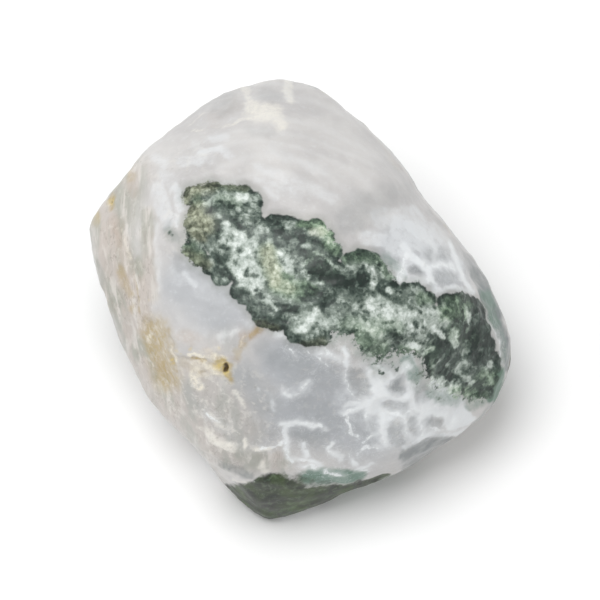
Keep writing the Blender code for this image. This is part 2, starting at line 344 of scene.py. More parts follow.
        (5.5, -3.6, 6, -4.2, 0.45, 0.52), (6, -4.9, 7.3, -4.4, 0.55, 0.28), (7.8, -4.2, 8, -4.6, 0.2, 0.62),
        (8.4, -3.3, 9.1, -3.6, 0.42, 0.06), (8.2, -4.6, 8.6, -4.9, 0.25, 0.28),
        (9.4, -4.6, 10.5, -4.9, 0.35, 0.36), (9.8, -3.5, 10.6, -3.5, 0.25, 0.28),
        (10.45, -4.05, 10.7, -4.25, 0.27, 1.1), (11.6, -3.2, 11.5, -4.2, 0.26, 0.48),
        (12, -4.6, 12.2, -4.8, 0.22, 0.72), (12.7, -3.6, 13.3, -4.4, 0.6, 0.05),
        (13.9, -2.9, 14.1, -3, 0.2, 0.24), (12.4, -5.4, 12, -6.3, 0.45, 0.14),
        (12, -6.3, 11.8, -7.1, 0.35, 0.1), (13.2, -5.3, 14.4, -5.6, 0.55, 0.2),
        (12.9, -5.9, 13.1, -6, 0.2, 0.42), (14.1, -3.5, 14.5, -3.2, 0.26, 0.9),
        (14.35, -3.8, 14.45, -4, 0.2, 0.82), (15.2, -3.1, 16.6, -3.4, 0.7, 0.1),
        (16.6, -3.4, 17.5, -4.3, 0.6, 0.12), (15, -4.4, 15.9, -4.6, 0.4, 0.32),
        (16.1, -5.2, 17.3, -5.4, 0.45, 0.06), (16.2, -6.3, 16.5, -6.5, 0.45, 0.2),
        (15, -5.5, 15.8, -4.8, 0.13, 0.6), (15.4, -6.1, 15, -6.9, 0.2, 0.64),
        (15, -6.9, 15.6, -7.4, 0.17, 0.58), (15.8, -7.5, 16.3, -7.8, 0.25, 0.74),
        (17.6, -6.4, 17.8, -7.3, 0.16, 0.62), (17.8, -5.8, 18, -5.9, 0.18, 0.68),
        (17.4, -7.3, 18.2, -7.9, 0.4, 0.32), (18.4, -6.4, 18.5, -7.5, 0.28, 0.28),
        (15.1, -8.9, 16.3, -9.2, 0.35, 0.4), (16.7, -8.2, 17.2, -8.8, 0.4, 0.22),
        (15.2, -8.1, 15.9, -8.4, 0.3, 0.26), (14, -7.4, 14.3, -7.6, 0.28, 0.06),
        (13, -7.1, 13.5, -7.7, 0.18, 0.6), (12.2, -7.5, 12.6, -7.4, 0.25, 0.3),
        (7.2, -6.7, 7.4, -6.7, 0.3, 0.46), (8.5, -6.2, 8.7, -6.2, 0.4, 0.52),
        (12.3, -9.2, 12.4, -9.1, 0.25, 0.46), (12.4, -7.8, 14.4, -8.6, 0.75, 0.84),
        (12.9, -8.4, 13, -8.4, 0.28, 0.08), (13.9, -8.1, 14.1, -8.2, 0.22, 0.14),
        (13.2, -3.9, 13.3, -4.2, 0.6, 0.02), (11.7, -6.2, 12.1, -7.2, 0.38, 0.04),
        (13.9, -7.4, 14.2, -7.6, 0.34, 0), (15, -5.2, 15.1, -5.4, 0.3, 0.1),
        (16.1, -5, 16.4, -5.9, 0.3, 0.02), (17, -5.5, 17.1, -5.7, 0.4, 0.08),
        (17, -3.6, 17.5, -4.5, 0.7, 0.04), (13.4, -6.3, 13.6, -6.5, 0.3, 0.14),
        (16.9, -8, 17.2, -8.5, 0.5, 0.12), (12.5, -6, 13.3, -5.6, 0.4, 0.38),
        (14.2, -3.35, 14.4, -3.2, 0.42, 0.98), (14.4, -3.8, 14.6, -4, 0.32, 0.86),
        (11.5, -5.2, 12.3, -4.5, 0.26, 0.72), (14.9, -6.6, 15.4, -6, 0.3, 0.74),
        (15.8, -7.6, 16.1, -7.8, 0.34, 0.92), (15.4, -7.2, 15.5, -7.5, 0.25, 0.66),
        (17.8, -5.8, 18, -6, 0.28, 0.84), (17.5, -6.6, 17.9, -7.6, 0.22, 0.7),
        (13.4, -7.2, 13, -7.9, 0.24, 0.66), (15.5, -5, 15.8, -4.8, 0.22, 0.62),
        (15.5, -1.3, 15.7, -1.9, 0.32, 0.78), (12.4, -2.5, 13.2, -3.4, 0.24, 1),
        (8.3, 0.9, 8.5, 0.8, 0.28, 0.95), (10.4, -4, 10.75, -4.2, 0.34, 1.15),
        (6.8, -3.1, 7.3, -3.4, 0.32, 0.84), (6.5, 2.6, 6.8, 1.9, 0.42, 0.86), (3.4, 2.9, 4.4, 2.5, 0.4, 0.42),
        (10.3, 0.2, 11.7, -0.1, 0.45, 0.52),
    ),
    "greens": (
        (-9.7, 9.7, -9.5, 9.1, 0.4, 0.6), (-7.6, 10.6, -5, 10.5, 0.5, 0.5), (-10.2, 4.6, -9.4, 3.6, 0.7, 0.8),
        (-7.4, 9.2, -5.8, 9, 0.6, 0.3), (-2.9, 4.4, -2.3, 1.8, 0.8, 0.7), (-2, 1.4, 0, 0.9, 0.9, 0.8),
        (0.2, 6.9, 1.8, 7.1, 0.5, 1), (1.8, 7.1, 2.9, 5.6, 0.6, 1), (2.5, 5.2, 3.3, 4.5, 0.5, 0.9),
        (0.4, 1.4, 1.2, 0.9, 0.5, 0.8), (4.3, 3.9, 5.8, 4.2, 0.6, 0.8), (5.8, 4.2, 7.6, 3.8, 0.6, 0.6),
        (7.6, 3.8, 8.2, 2.5, 0.6, 0.5), (11, 0.3, 12.4, 0.2, 0.5, 0.6), (13.9, 0, 15.8, -0.3, 0.6, 0.8),
        (13.6, -1.2, 14.9, -1.3, 0.8, 0.9), (5.4, -3.6, 7.4, -4.6, 0.9, 0.6), (5.5, -2.7, 7.3, -3, 0.6, 0.5),
        (9.4, -4.6, 10.6, -4.9, 0.5, 0.6), (12.3, -4.6, 11.9, -6.6, 0.7, 0.4),
        (17.2, -7.2, 18.4, -7.4, 0.8, 0.7), (14.8, -9, 17.2, -8.8, 0.7, 0.8), (1.3, 3.7, 2.3, 2.6, 0.9, 0.5),
        (-1.6, 2.1, -0.7, 2, 0.4, 0.9), (14.4, -3, 16.4, -3.6, 0.9, 0.4), (4.6, -2.4, 8.6, -2.6, 0.9, 0.35),
    ),
    "olives": (
        (-10.3, 10.3, -8.2, 10.8, 0.8, 0.8), (-10.8, 9.6, -10.4, 7.2, 0.7, 0.8),
        (-9.9, 8.1, -8.8, 7.1, 1.1, 0.85), (-9.9, 6.5, -9.3, 5.9, 0.7, 0.8),
        (-10.3, 4.2, -8.8, 3.2, 0.6, 0.6), (-8.2, 10.8, -5, 10.6, 0.5, 0.5), (-2.9, 4.4, -2.3, 1.8, 0.7, 0.7),
        (-2, 1.5, -0.8, 1.1, 0.6, 0.4), (-3.8, -2.2, -2.2, -2.6, 0.5, 0.7), (0.4, -4.1, 2.2, -4, 0.5, 0.5),
        (1.2, 6.3, 2, 6.3, 0.4, 0.4),
    ),
    # where the rim fades into the clear stone
    "faded": (
        (3.4, -3.4, 5, -4.8, 0.9, 0.9), (5.4, -5.4, 8.4, -5.6, 0.8, 0.9), (8.4, -5, 10.8, -4.8, 0.9, 1),
        (10.8, -5, 11.6, -7.4, 0.6, 0.7), (11.8, -8, 14.4, -9.4, 1, 1), (14.4, -9.6, 17.4, -9.6, 0.7, 0.8),
        (-11.4, 9.8, -10.8, 6.2, 0.9, 0.32), (-10.6, 5.6, -9.6, 3, 0.7, 0.32),
        (-10.4, 10.8, -6, 11.2, 0.7, 0.3), (8.2, 3.8, 8.8, 2.4, 0.6, 0.6), (2.6, 6.2, 3.4, 5, 0.5, 0.3),
    ),
}

milk = {
    "farFromVeins": 3.0,
    # milky white in the clear stone
    "veils": (
        (7.6, 7.6, 10.6, 7.9, 1, 0.45), (9.6, 6.6, 12, 5.6, 1.5, 0.7), (6.2, 5.7, 8.4, 5.6, 0.7, 0.6),
        (8.6, 5.2, 9.6, 4.8, 0.8, 0.6), (10.2, 6.9, 11.2, 6.2, 0.8, 0.9), (12.2, 4.2, 14, 3, 1.5, 0.5),
        (10.6, 8.4, 11.4, 7.4, 0.6, 0.6), (12.4, 6.6, 13.6, 5.2, 0.8, 0.45), (9.6, 5, 10.1, 4.2, 0.42, 0.95),
        (10.1, 4.2, 11, 3.4, 0.36, 0.95), (11, 3.4, 11.8, 2.9, 0.3, 1), (11.8, 2.9, 12.3, 1.7, 0.3, 1),
        (12.3, 1.7, 12.9, 0.9, 0.28, 1), (11.9, 3.1, 13.2, 3.4, 0.3, 0.8), (13.2, 3.4, 14.2, 3.3, 0.3, 0.9),
        (13.9, 5.2, 14.4, 3.7, 0.3, 0.85), (14.4, 3.7, 15.1, 2.1, 0.34, 1), (15.1, 2.1, 16, 0.8, 0.32, 1),
        (12.9, 0.9, 14.4, 1.1, 0.28, 0.85), (14.4, 1.1, 16, 0.8, 0.28, 0.9), (8.9, 3, 9.4, 2, 0.4, 0.6),
        (7, -8, 8, -12.6, 1.5, 0.5), (9, -8.4, 10.6, -12, 1.6, 0.5), (4.6, -9, 6.4, -11, 1.4, 0.28),
        (12, -9.6, 15, -10.4, 1, 0.8), (13, -8.2, 14, -9, 0.65, 0.9), (14.2, -11.4, 15.6, -11.2, 0.9, 0.9),
        (10, -5.6, 10.6, -7.4, 0.7, 0.9), (6.6, -6.9, 7.2, -8, 0.5, 0.85), (7.2, -8, 7.7, -9.1, 0.7, 1),
        (7.7, -9.1, 7.3, -9.8, 0.45, 1), (7, -9.8, 5.6, -9.9, 0.4, 0.75), (5.6, -10, 4.2, -10.5, 0.32, 0.75),
        (7.7, -9.2, 9.4, -9.2, 0.3, 0.95), (9.4, -9.2, 10.6, -9.8, 0.34, 0.9),
        (10.6, -9.8, 12.2, -9.9, 0.3, 0.7), (7.4, -10, 8.1, -11, 0.36, 0.85), (8, -11, 7.9, -13, 0.32, 0.85),
        (8.2, -11.2, 9.8, -11.4, 0.2, 0.95), (9.8, -11.4, 10, -12.6, 0.18, 0.6),
        (10.2, -10.4, 11.2, -10.9, 0.25, 0.9), (10.6, -10.2, 10.2, -11, 0.2, 0.8),
        (7.5, -6.2, 8.3, -7.2, 0.24, 0.95), (8.3, -7.2, 9.3, -6.7, 0.26, 1),
        (9.3, -6.7, 9.8, -5.7, 0.32, 0.95), (4, -4.4, 4.4, -6, 0.32, 0.75), (1.9, -4.9, 3.4, -5.5, 0.5, 0.5),
        (4, -7, 4.2, -8.6, 0.35, 0.35), (9.8, -13.9, 11.8, -12.5, 0.28, 0.85),
        (11.8, -12.4, 13.2, -12.75, 0.28, 0.75), (13.2, -12.75, 15.8, -12.2, 0.32, 0.8),
        (12.2, -11, 13.4, -10.9, 0.25, 0.65), (7.4, -13.6, 8.2, -13.2, 0.5, 0.5),
        (6, -8.8, 6.8, -9, 0.5, 0.6), (-1.5, -8.6, -0.9, -8.9, 0.18, 0.9),
        (-0.5, -8.8, -0.1, -8.7, 0.14, 0.7), (0.4, -7.8, 0.8, -7.3, 0.16, 0.7),
        (-1.4, -8.4, 0.3, -8.3, 0.6, 0.34), (-0.4, -8, 0.8, -7.7, 0.45, 0.34),
        (-1.7, -7.9, -1.5, -8.1, 0.14, 0.6), (-1.7, -11.7, -0.2, -11.3, 0.22, 0.95),
        (-0.2, -11.3, 1.8, -11.8, 0.2, 1), (-1.4, -11.6, -1.2, -13.3, 0.2, 0.85),
        (-1.2, -13.6, -1, -14.8, 0.2, 0.75), (-1, -14.8, -0.1, -15, 0.25, 0.6),
        (0.2, -13.4, 0.3, -14.2, 0.18, 0.8), (0.4, -14.2, 0.6, -14.7, 0.26, 0.9),
        (2.8, -14, 3.1, -13.4, 0.2, 0.95), (1, -15.3, 1.9, -15.6, 0.24, 0.8),
        (3.1, -14.4, 3.9, -15, 0.22, 0.6), (4.8, -15, 5.3, -15.2, 0.22, 0.9),
        (5.4, -15.7, 6.6, -15.3, 0.24, 0.8), (2.3, -12.1, 2.5, -12.3, 0.14, 0.95),
        (0.3, -15.6, 4.3, -16.3, 0.2, 0.45), (-2.7, -9.3, -2.4, -10, 0.18, 1),
        (-4, -8.4, -3.9, -8.6, 0.16, 0.9), (-3.2, -8.6, -2.9, -9, 0.2, 0.4),
        (-10.9, 12.9, -9.4, 12.9, 0.6, 0.5), (-9.2, 13.6, -7.3, 14.2, 0.4, 0.6),
        (-7.3, 14.1, -6.3, 13.3, 0.35, 0.55), (-9.8, 14.6, -8.2, 13.2, 0.5, 0.3),
        (-11.6, 10.6, -11.3, 8.8, 0.5, 0.6), (-8.4, 15, -6.9, 15.1, 0.35, 0.45),
        (-13.4, 13.2, -12.6, 12.7, 0.5, 0.5), (-13.2, 10.4, -12.3, 7.3, 0.7, 0.5),
        (-12.6, 11.6, -11.8, 11, 0.6, 0.35), (-11.6, 8, -11.3, 7.2, 0.3, 0.6), (-13.4, 7, -13.1, 1, 0.3, 0.5),
        (-10.7, 2.4, -9.8, 1.2, 0.3, 0.6), (-9.4, 1.2, -7.4, 0.2, 0.9, 0.22),
        (-11.7, 2.6, -11.2, 2, 0.5, 0.3), (-7.4, -3.5, -5.8, -2.8, 0.3, 0.75),
        (-7.6, -3.6, -7.2, -3.9, 0.3, 0.6), (-2, -3.1, -1.4, -3.3, 0.3, 0.9),
        (-4.8, -1.9, -4.6, -2.1, 0.25, 0.6), (-1.2, 20.7, -1, 18.9, 0.35, 0.5),
        (-4, 12.4, 3.2, 9.3, 0.5, 0.35), (-4, 11.3, 0, 9.8, 0.35, 0.4), (-3.2, 10.3, -2, 9.6, 0.3, 0.35),
        (-2.6, 14, 2, 12, 0.6, 0.22), (17.9, -2.3, 18.4, -4.2, 0.2, 0.32),
        (18.5, -4.2, 19.1, -5.9, 0.22, 0.5), (-4.6, -10.6, -4, -11.4, 0.4, 0.3),
    ),
    # clearer windows where the grey depth shows; some strokes are painted shade instead, in the recess under
    # the lip, on the undercut lower right and as a darker rim along the upper outline
    "windowsAndShade": (
        (4.6, 7.6, 6.4, 8.6, 1.5, 0.3), (4.2, 6.8, 5.4, 7, 0.9, 0.32), (6, 8.4, 8.6, 9.8, 1.2, 0.26),
        (8, 9.4, 10.4, 10.2, 0.9, 0.2), (12.2, 8.2, 13.4, 6.8, 0.5, 0.25), (14.4, 5.4, 15.6, 4.2, 0.5, 0.25),
        (-6.4, 18.7, -7.4, 17.9, 0.9, 0.25), (-3, 19.4, -2.6, 19, 0.9, 0.22),
        (-4.6, 15.9, -2.6, 15.7, 0.5, 0.15), (-11.6, 3.9, -11.1, 3, 0.5, 0.25),
        (-12.2, 6.8, -11.4, 5.6, 0.7, 0.35), (-7.4, 1, -7.6, -2, 1.2, 0.12), (3, -6.4, 3.2, -6.7, 0.4, 0.3),
        # the first stroke here is painted shade in the recess under the lip
        (-7.6, -14.6, -4.4, -15, 0.9, 0.48), (-18.2, 3, -16, -2.6, 1.2, 0.45),
        # the first stroke here is painted shade on the undercut lower right
        (10.4, -14.1, 13, -13, 0.6, 0.6), (0.2, -12.6, 1.8, -13, 1, 0.4), (-0.4, -6.2, 2.6, -7, 1.6, 0.18),
        (1, -9.6, 3, -11.4, 1.4, 0.2), (-3.4, -4.4, -2.4, -5, 0.9, 0.25), (1.1, 20, 2.6, 19.5, 0.3, 0.8),
        # the last stroke here is painted shade in the recess under the lip
        (2.6, 19.5, 4.2, 18.8, 0.25, 0.5), (-7.5, -15.5, -4.8, -16.2, 0.4, 0.9),
        # both strokes here are painted shade in the recess under the lip
        (-6.8, -15.7, -5.6, -15.9, 0.34, 1.1), (-5, -14.8, -4, -15, 0.4, 0.25),
        (-9, -9.4, -5, -12.4, 2.4, 0.36), (-5.4, -7.4, -3.6, -9.6, 1.6, 0.34),
        # the last two strokes here paint a shaded rim along the upper outline
        (-2, -5.2, 0.4, -5.6, 1.3, 0.34), (4.8, 18.2, 12.4, 8.8, 0.35, 0.3), (-17.6, 13, -10, 17.8, 0.5, 0.3),
        # both strokes here paint a shaded rim along the upper outline
        (-10, 17.8, -5, 20.3, 0.5, 0.25), (-19.4, 9, -17.6, 13, 0.4, 0.25),
    ),
    # the same with a firm border: the band down the right edge, darker clear stone and partly painted shade,
    # then painted shade on the undercut lower right
    "firmWindowsAndShade": (
        (15.7, 4, 16.6, 2.4, 0.75, 0.55), (16.7, 2.4, 17.6, 0.6, 0.95, 0.85),
        (17.5, 0.7, 18.4, -1.4, 0.95, 1), (18.4, -1.4, 19.1, -3.8, 0.75, 1),
        (19.1, -3.8, 19.7, -6.2, 0.65, 1), (9.8, -14.6, 12.6, -13.5, 0.6, 0.9),
        (12.6, -13.6, 17, -13.1, 0.6, 0.8), (16.6, -12, 18.4, -9.6, 0.5, 0.6),
        (10.4, -15.5, 16, -14, 0.9, 0.75),
    ),
    # clear cells in a white net: right, up, right, up, radius, darkness
    "cells": (
        (5.3, -7.2, 5.5, -8.1, 1.1, 0.42), (9.1, -7.55, 9, -8.1, 0.7, 0.75),
        (8.5, -9.95, 9.8, -9.95, 0.62, 0.32), (10.5, -11.1, 10.6, -12, 0.62, 0.36),
        (8.9, -11.9, 9.1, -12.9, 0.85, 0.38), (12, -11.7, 12.9, -11.6, 0.5, 0.48),
        (5, -10.9, 5.3, -12.3, 1, 0.2), (6.6, -11.4, 6.8, -13.4, 0.6, 0.24),
        (11.7, -8.3, 11.4, -9.2, 0.55, 0.45), (10.6, 2.75, 11.2, 2.65, 0.42, 0.85),
        (13.2, 2.2, 14.2, 2.1, 0.75, 0.4), (12, 4.3, 13.3, 4.2, 0.7, 0.38), (12.4, 1.4, 12.6, 1.3, 0.25, 0.3),
    ),
    "cellEdge": 0.25,           # the white starts this far inside a cell
    "cellBorder": 0.6,
    "wallBorder": 0.65,
    # the fine white line midway between cells
    "lineHalfWidth": 0.08,
    "lineLoss": 1.2,            # how far it thins where the net ends
    "lineReach": 1.8,
    "netWhite": 0.95,
    # where that net lies
    "net": (
        (6.8, -8, 8.4, -12, 1.9, 1), (8.4, -8.6, 11.4, -11, 2.2, 1), (4.6, -10.2, 6.6, -9.8, 0.8, 0.8),
        (10.4, 2.6, 13.4, 2.8, 1.5, 0.7),
    ),
    # white veins: half width, then the points that each passes
    "veins": (
        (0.24, (6.8, -8.3), (7.4, -8.9)), (0.1, (6.2, -6.4), (6.6, -7.2), (7.1, -8), (7.5, -8.9)),
        (0.1, (7, -9.4), (5.7, -10), (4.7, -10.2), (4, -10.7)),
        (0.11, (7.2, -6), (8, -6.9), (8.6, -7), (9.3, -6.7), (10, -6.2)),
        (0.09, (4.5, -6.1), (4.1, -7.2), (4.4, -8.4), (5.2, -9.2), (6.4, -9.2)),
        (0.09, (4.6, -10.3), (4.2, -11.3), (4.5, -12.4), (5.3, -13)),
        (0.04, (2.4, -4.6), (3.2, -5.2), (4.3, -5.8), (5, -6), (5.8, -5.9)),
        (0.03, (0.6, -4.6), (1.5, -5.2), (2.4, -6.2)), (0.02, (1.6, -5.3), (2.5, -5), (3.2, -5.2)),
        (0.02, (3.3, -3.9), (4.2, -4.6), (4.3, -5.7)), (0.03, (-1.7, -8.6), (-1, -8.9), (-0.4, -8.8)),
        (0.02, (0.1, -8.2), (0.5, -7.8), (0.9, -7.2)),
        (0.11, (-1.7, -11.8), (-0.8, -11.7), (0.2, -11.3), (1.1, -11.6), (1.9, -11.8)),
        (0.1, (-1.5, -11.7), (-1.5, -12.6), (-1.2, -13.6), (-1.1, -14.4), (-0.7, -15.1)),
        (0.06, (0.2, -13.5), (0.5, -13.9), (0.7, -14.5)), (0.07, (-0.3, -14.8), (0.6, -15.1), (1.4, -15.5)),
        (0.04, (3.1, -13.4), (2.9, -14.3), (3.7, -15.1)), (0.04, (4.5, -14.6), (5, -15.4), (6.2, -15.9)),
        (0.08, (0.3, -15.6), (1.6, -15.8), (2.9, -16.2), (4.3, -16.4)),
        (0.08, (-1.4, -13.2), (-2.2, -13.7), (-3.4, -13.6)),
        (0.03, (-7.4, -11.3), (-8.2, -11), (-8.8, -10.6)), (0.08, (12, 3.2), (13.2, 3.1), (14.4, 3)),
        (0.1, (9.8, 4.2), (9.6, 3.2), (9, 2.1)), (0.1, (14, 5.2), (14.5, 3.6), (15.3, 2.1), (16.1, 0.8)),
        (0.07, (11.7, 3), (12.4, 3.3), (12.6, 4.6), (12, 5.6)),
        (0.02, (17.9, -2.4), (18.4, -4.2), (19, -5.8)), (0.03, (-1.1, -4.7), (-0.7, -4.9), (-0.4, -5.2)),
        (0.07, (5.8, -13.4), (6.6, -12.6), (7.7, -12.4)), (0.07, (5.5, -14.4), (6.2, -13.8), (7.2, -14)),
        (0.08, (12, -12), (13.2, -12.2), (14.2, -11.9), (14.6, -11.2)),
        (0.08, (11.9, -10.6), (12.8, -11), (13.6, -10.9)),
    ),
    # cream bands at the back end and flecks on the lower left
    "creams": (
        (-5.2, 19.9, -4.7, 18.4, 0.4, 0.65), (-4.7, 18.4, -4.2, 17.6, 0.65, 0.8),
        (-4, 17.6, -2.4, 17.5, 0.95, 0.85), (-2.3, 17.1, -1.8, 16.3, 0.65, 0.75),
        (-10.3, 16, -6.3, 16.5, 0.16, 0.6), (-6.3, 16.5, -4.3, 17.1, 0.2, 0.7),
        (-5.4, 17.3, -5, 17.2, 0.25, 0.4), (-1.2, 20.8, -1, 18.8, 0.5, 0.65),
        (-10.6, 16.4, -8.9, 17.5, 0.12, 0.6), (-5.9, -8.5, -5.6, -9.3, 0.26, 0.8),
        (-5.5, -9.4, -5.1, -9.9, 0.24, 0.7), (-8.5, -10.6, -7.8, -11.3, 0.28, 0.6),
        (-7.6, -11.4, -6.8, -11.8, 0.32, 0.6), (-8.6, -12.4, -8, -12.6, 0.38, 0.75),
        (-8, -13, -7.1, -13.5, 0.38, 0.9), (-7, -13.5, -6.1, -13.5, 0.55, 1),
        (-8.6, -12.2, -7.6, -13, 0.3, 0.8), (-3.5, -15.3, -3.1, -16, 0.38, 0.9),
        (-6.4, -16.8, -4.8, -17, 0.24, 0.8), (-9.4, -11.9, -9, -12, 0.25, 0.5),
        (-6.3, -9, -6.6, -9.3, 0.24, 0.4), (-4.9, -13.1, -4.8, -13.5, 0.26, 0.85),
        (-4.2, -13.7, -2.6, -13.8, 0.2, 0.85), (-1.9, -13.4, -1.7, -13.6, 0.2, 0.6),
        (-7.6, -8.6, -7.3, -9.2, 0.25, 0.35), (-9.8, -10.2, -9.2, -10.8, 0.35, 0.35),
        (-3.8, -9.6, -3.6, -9.7, 0.15, 0.5),
    ),
}

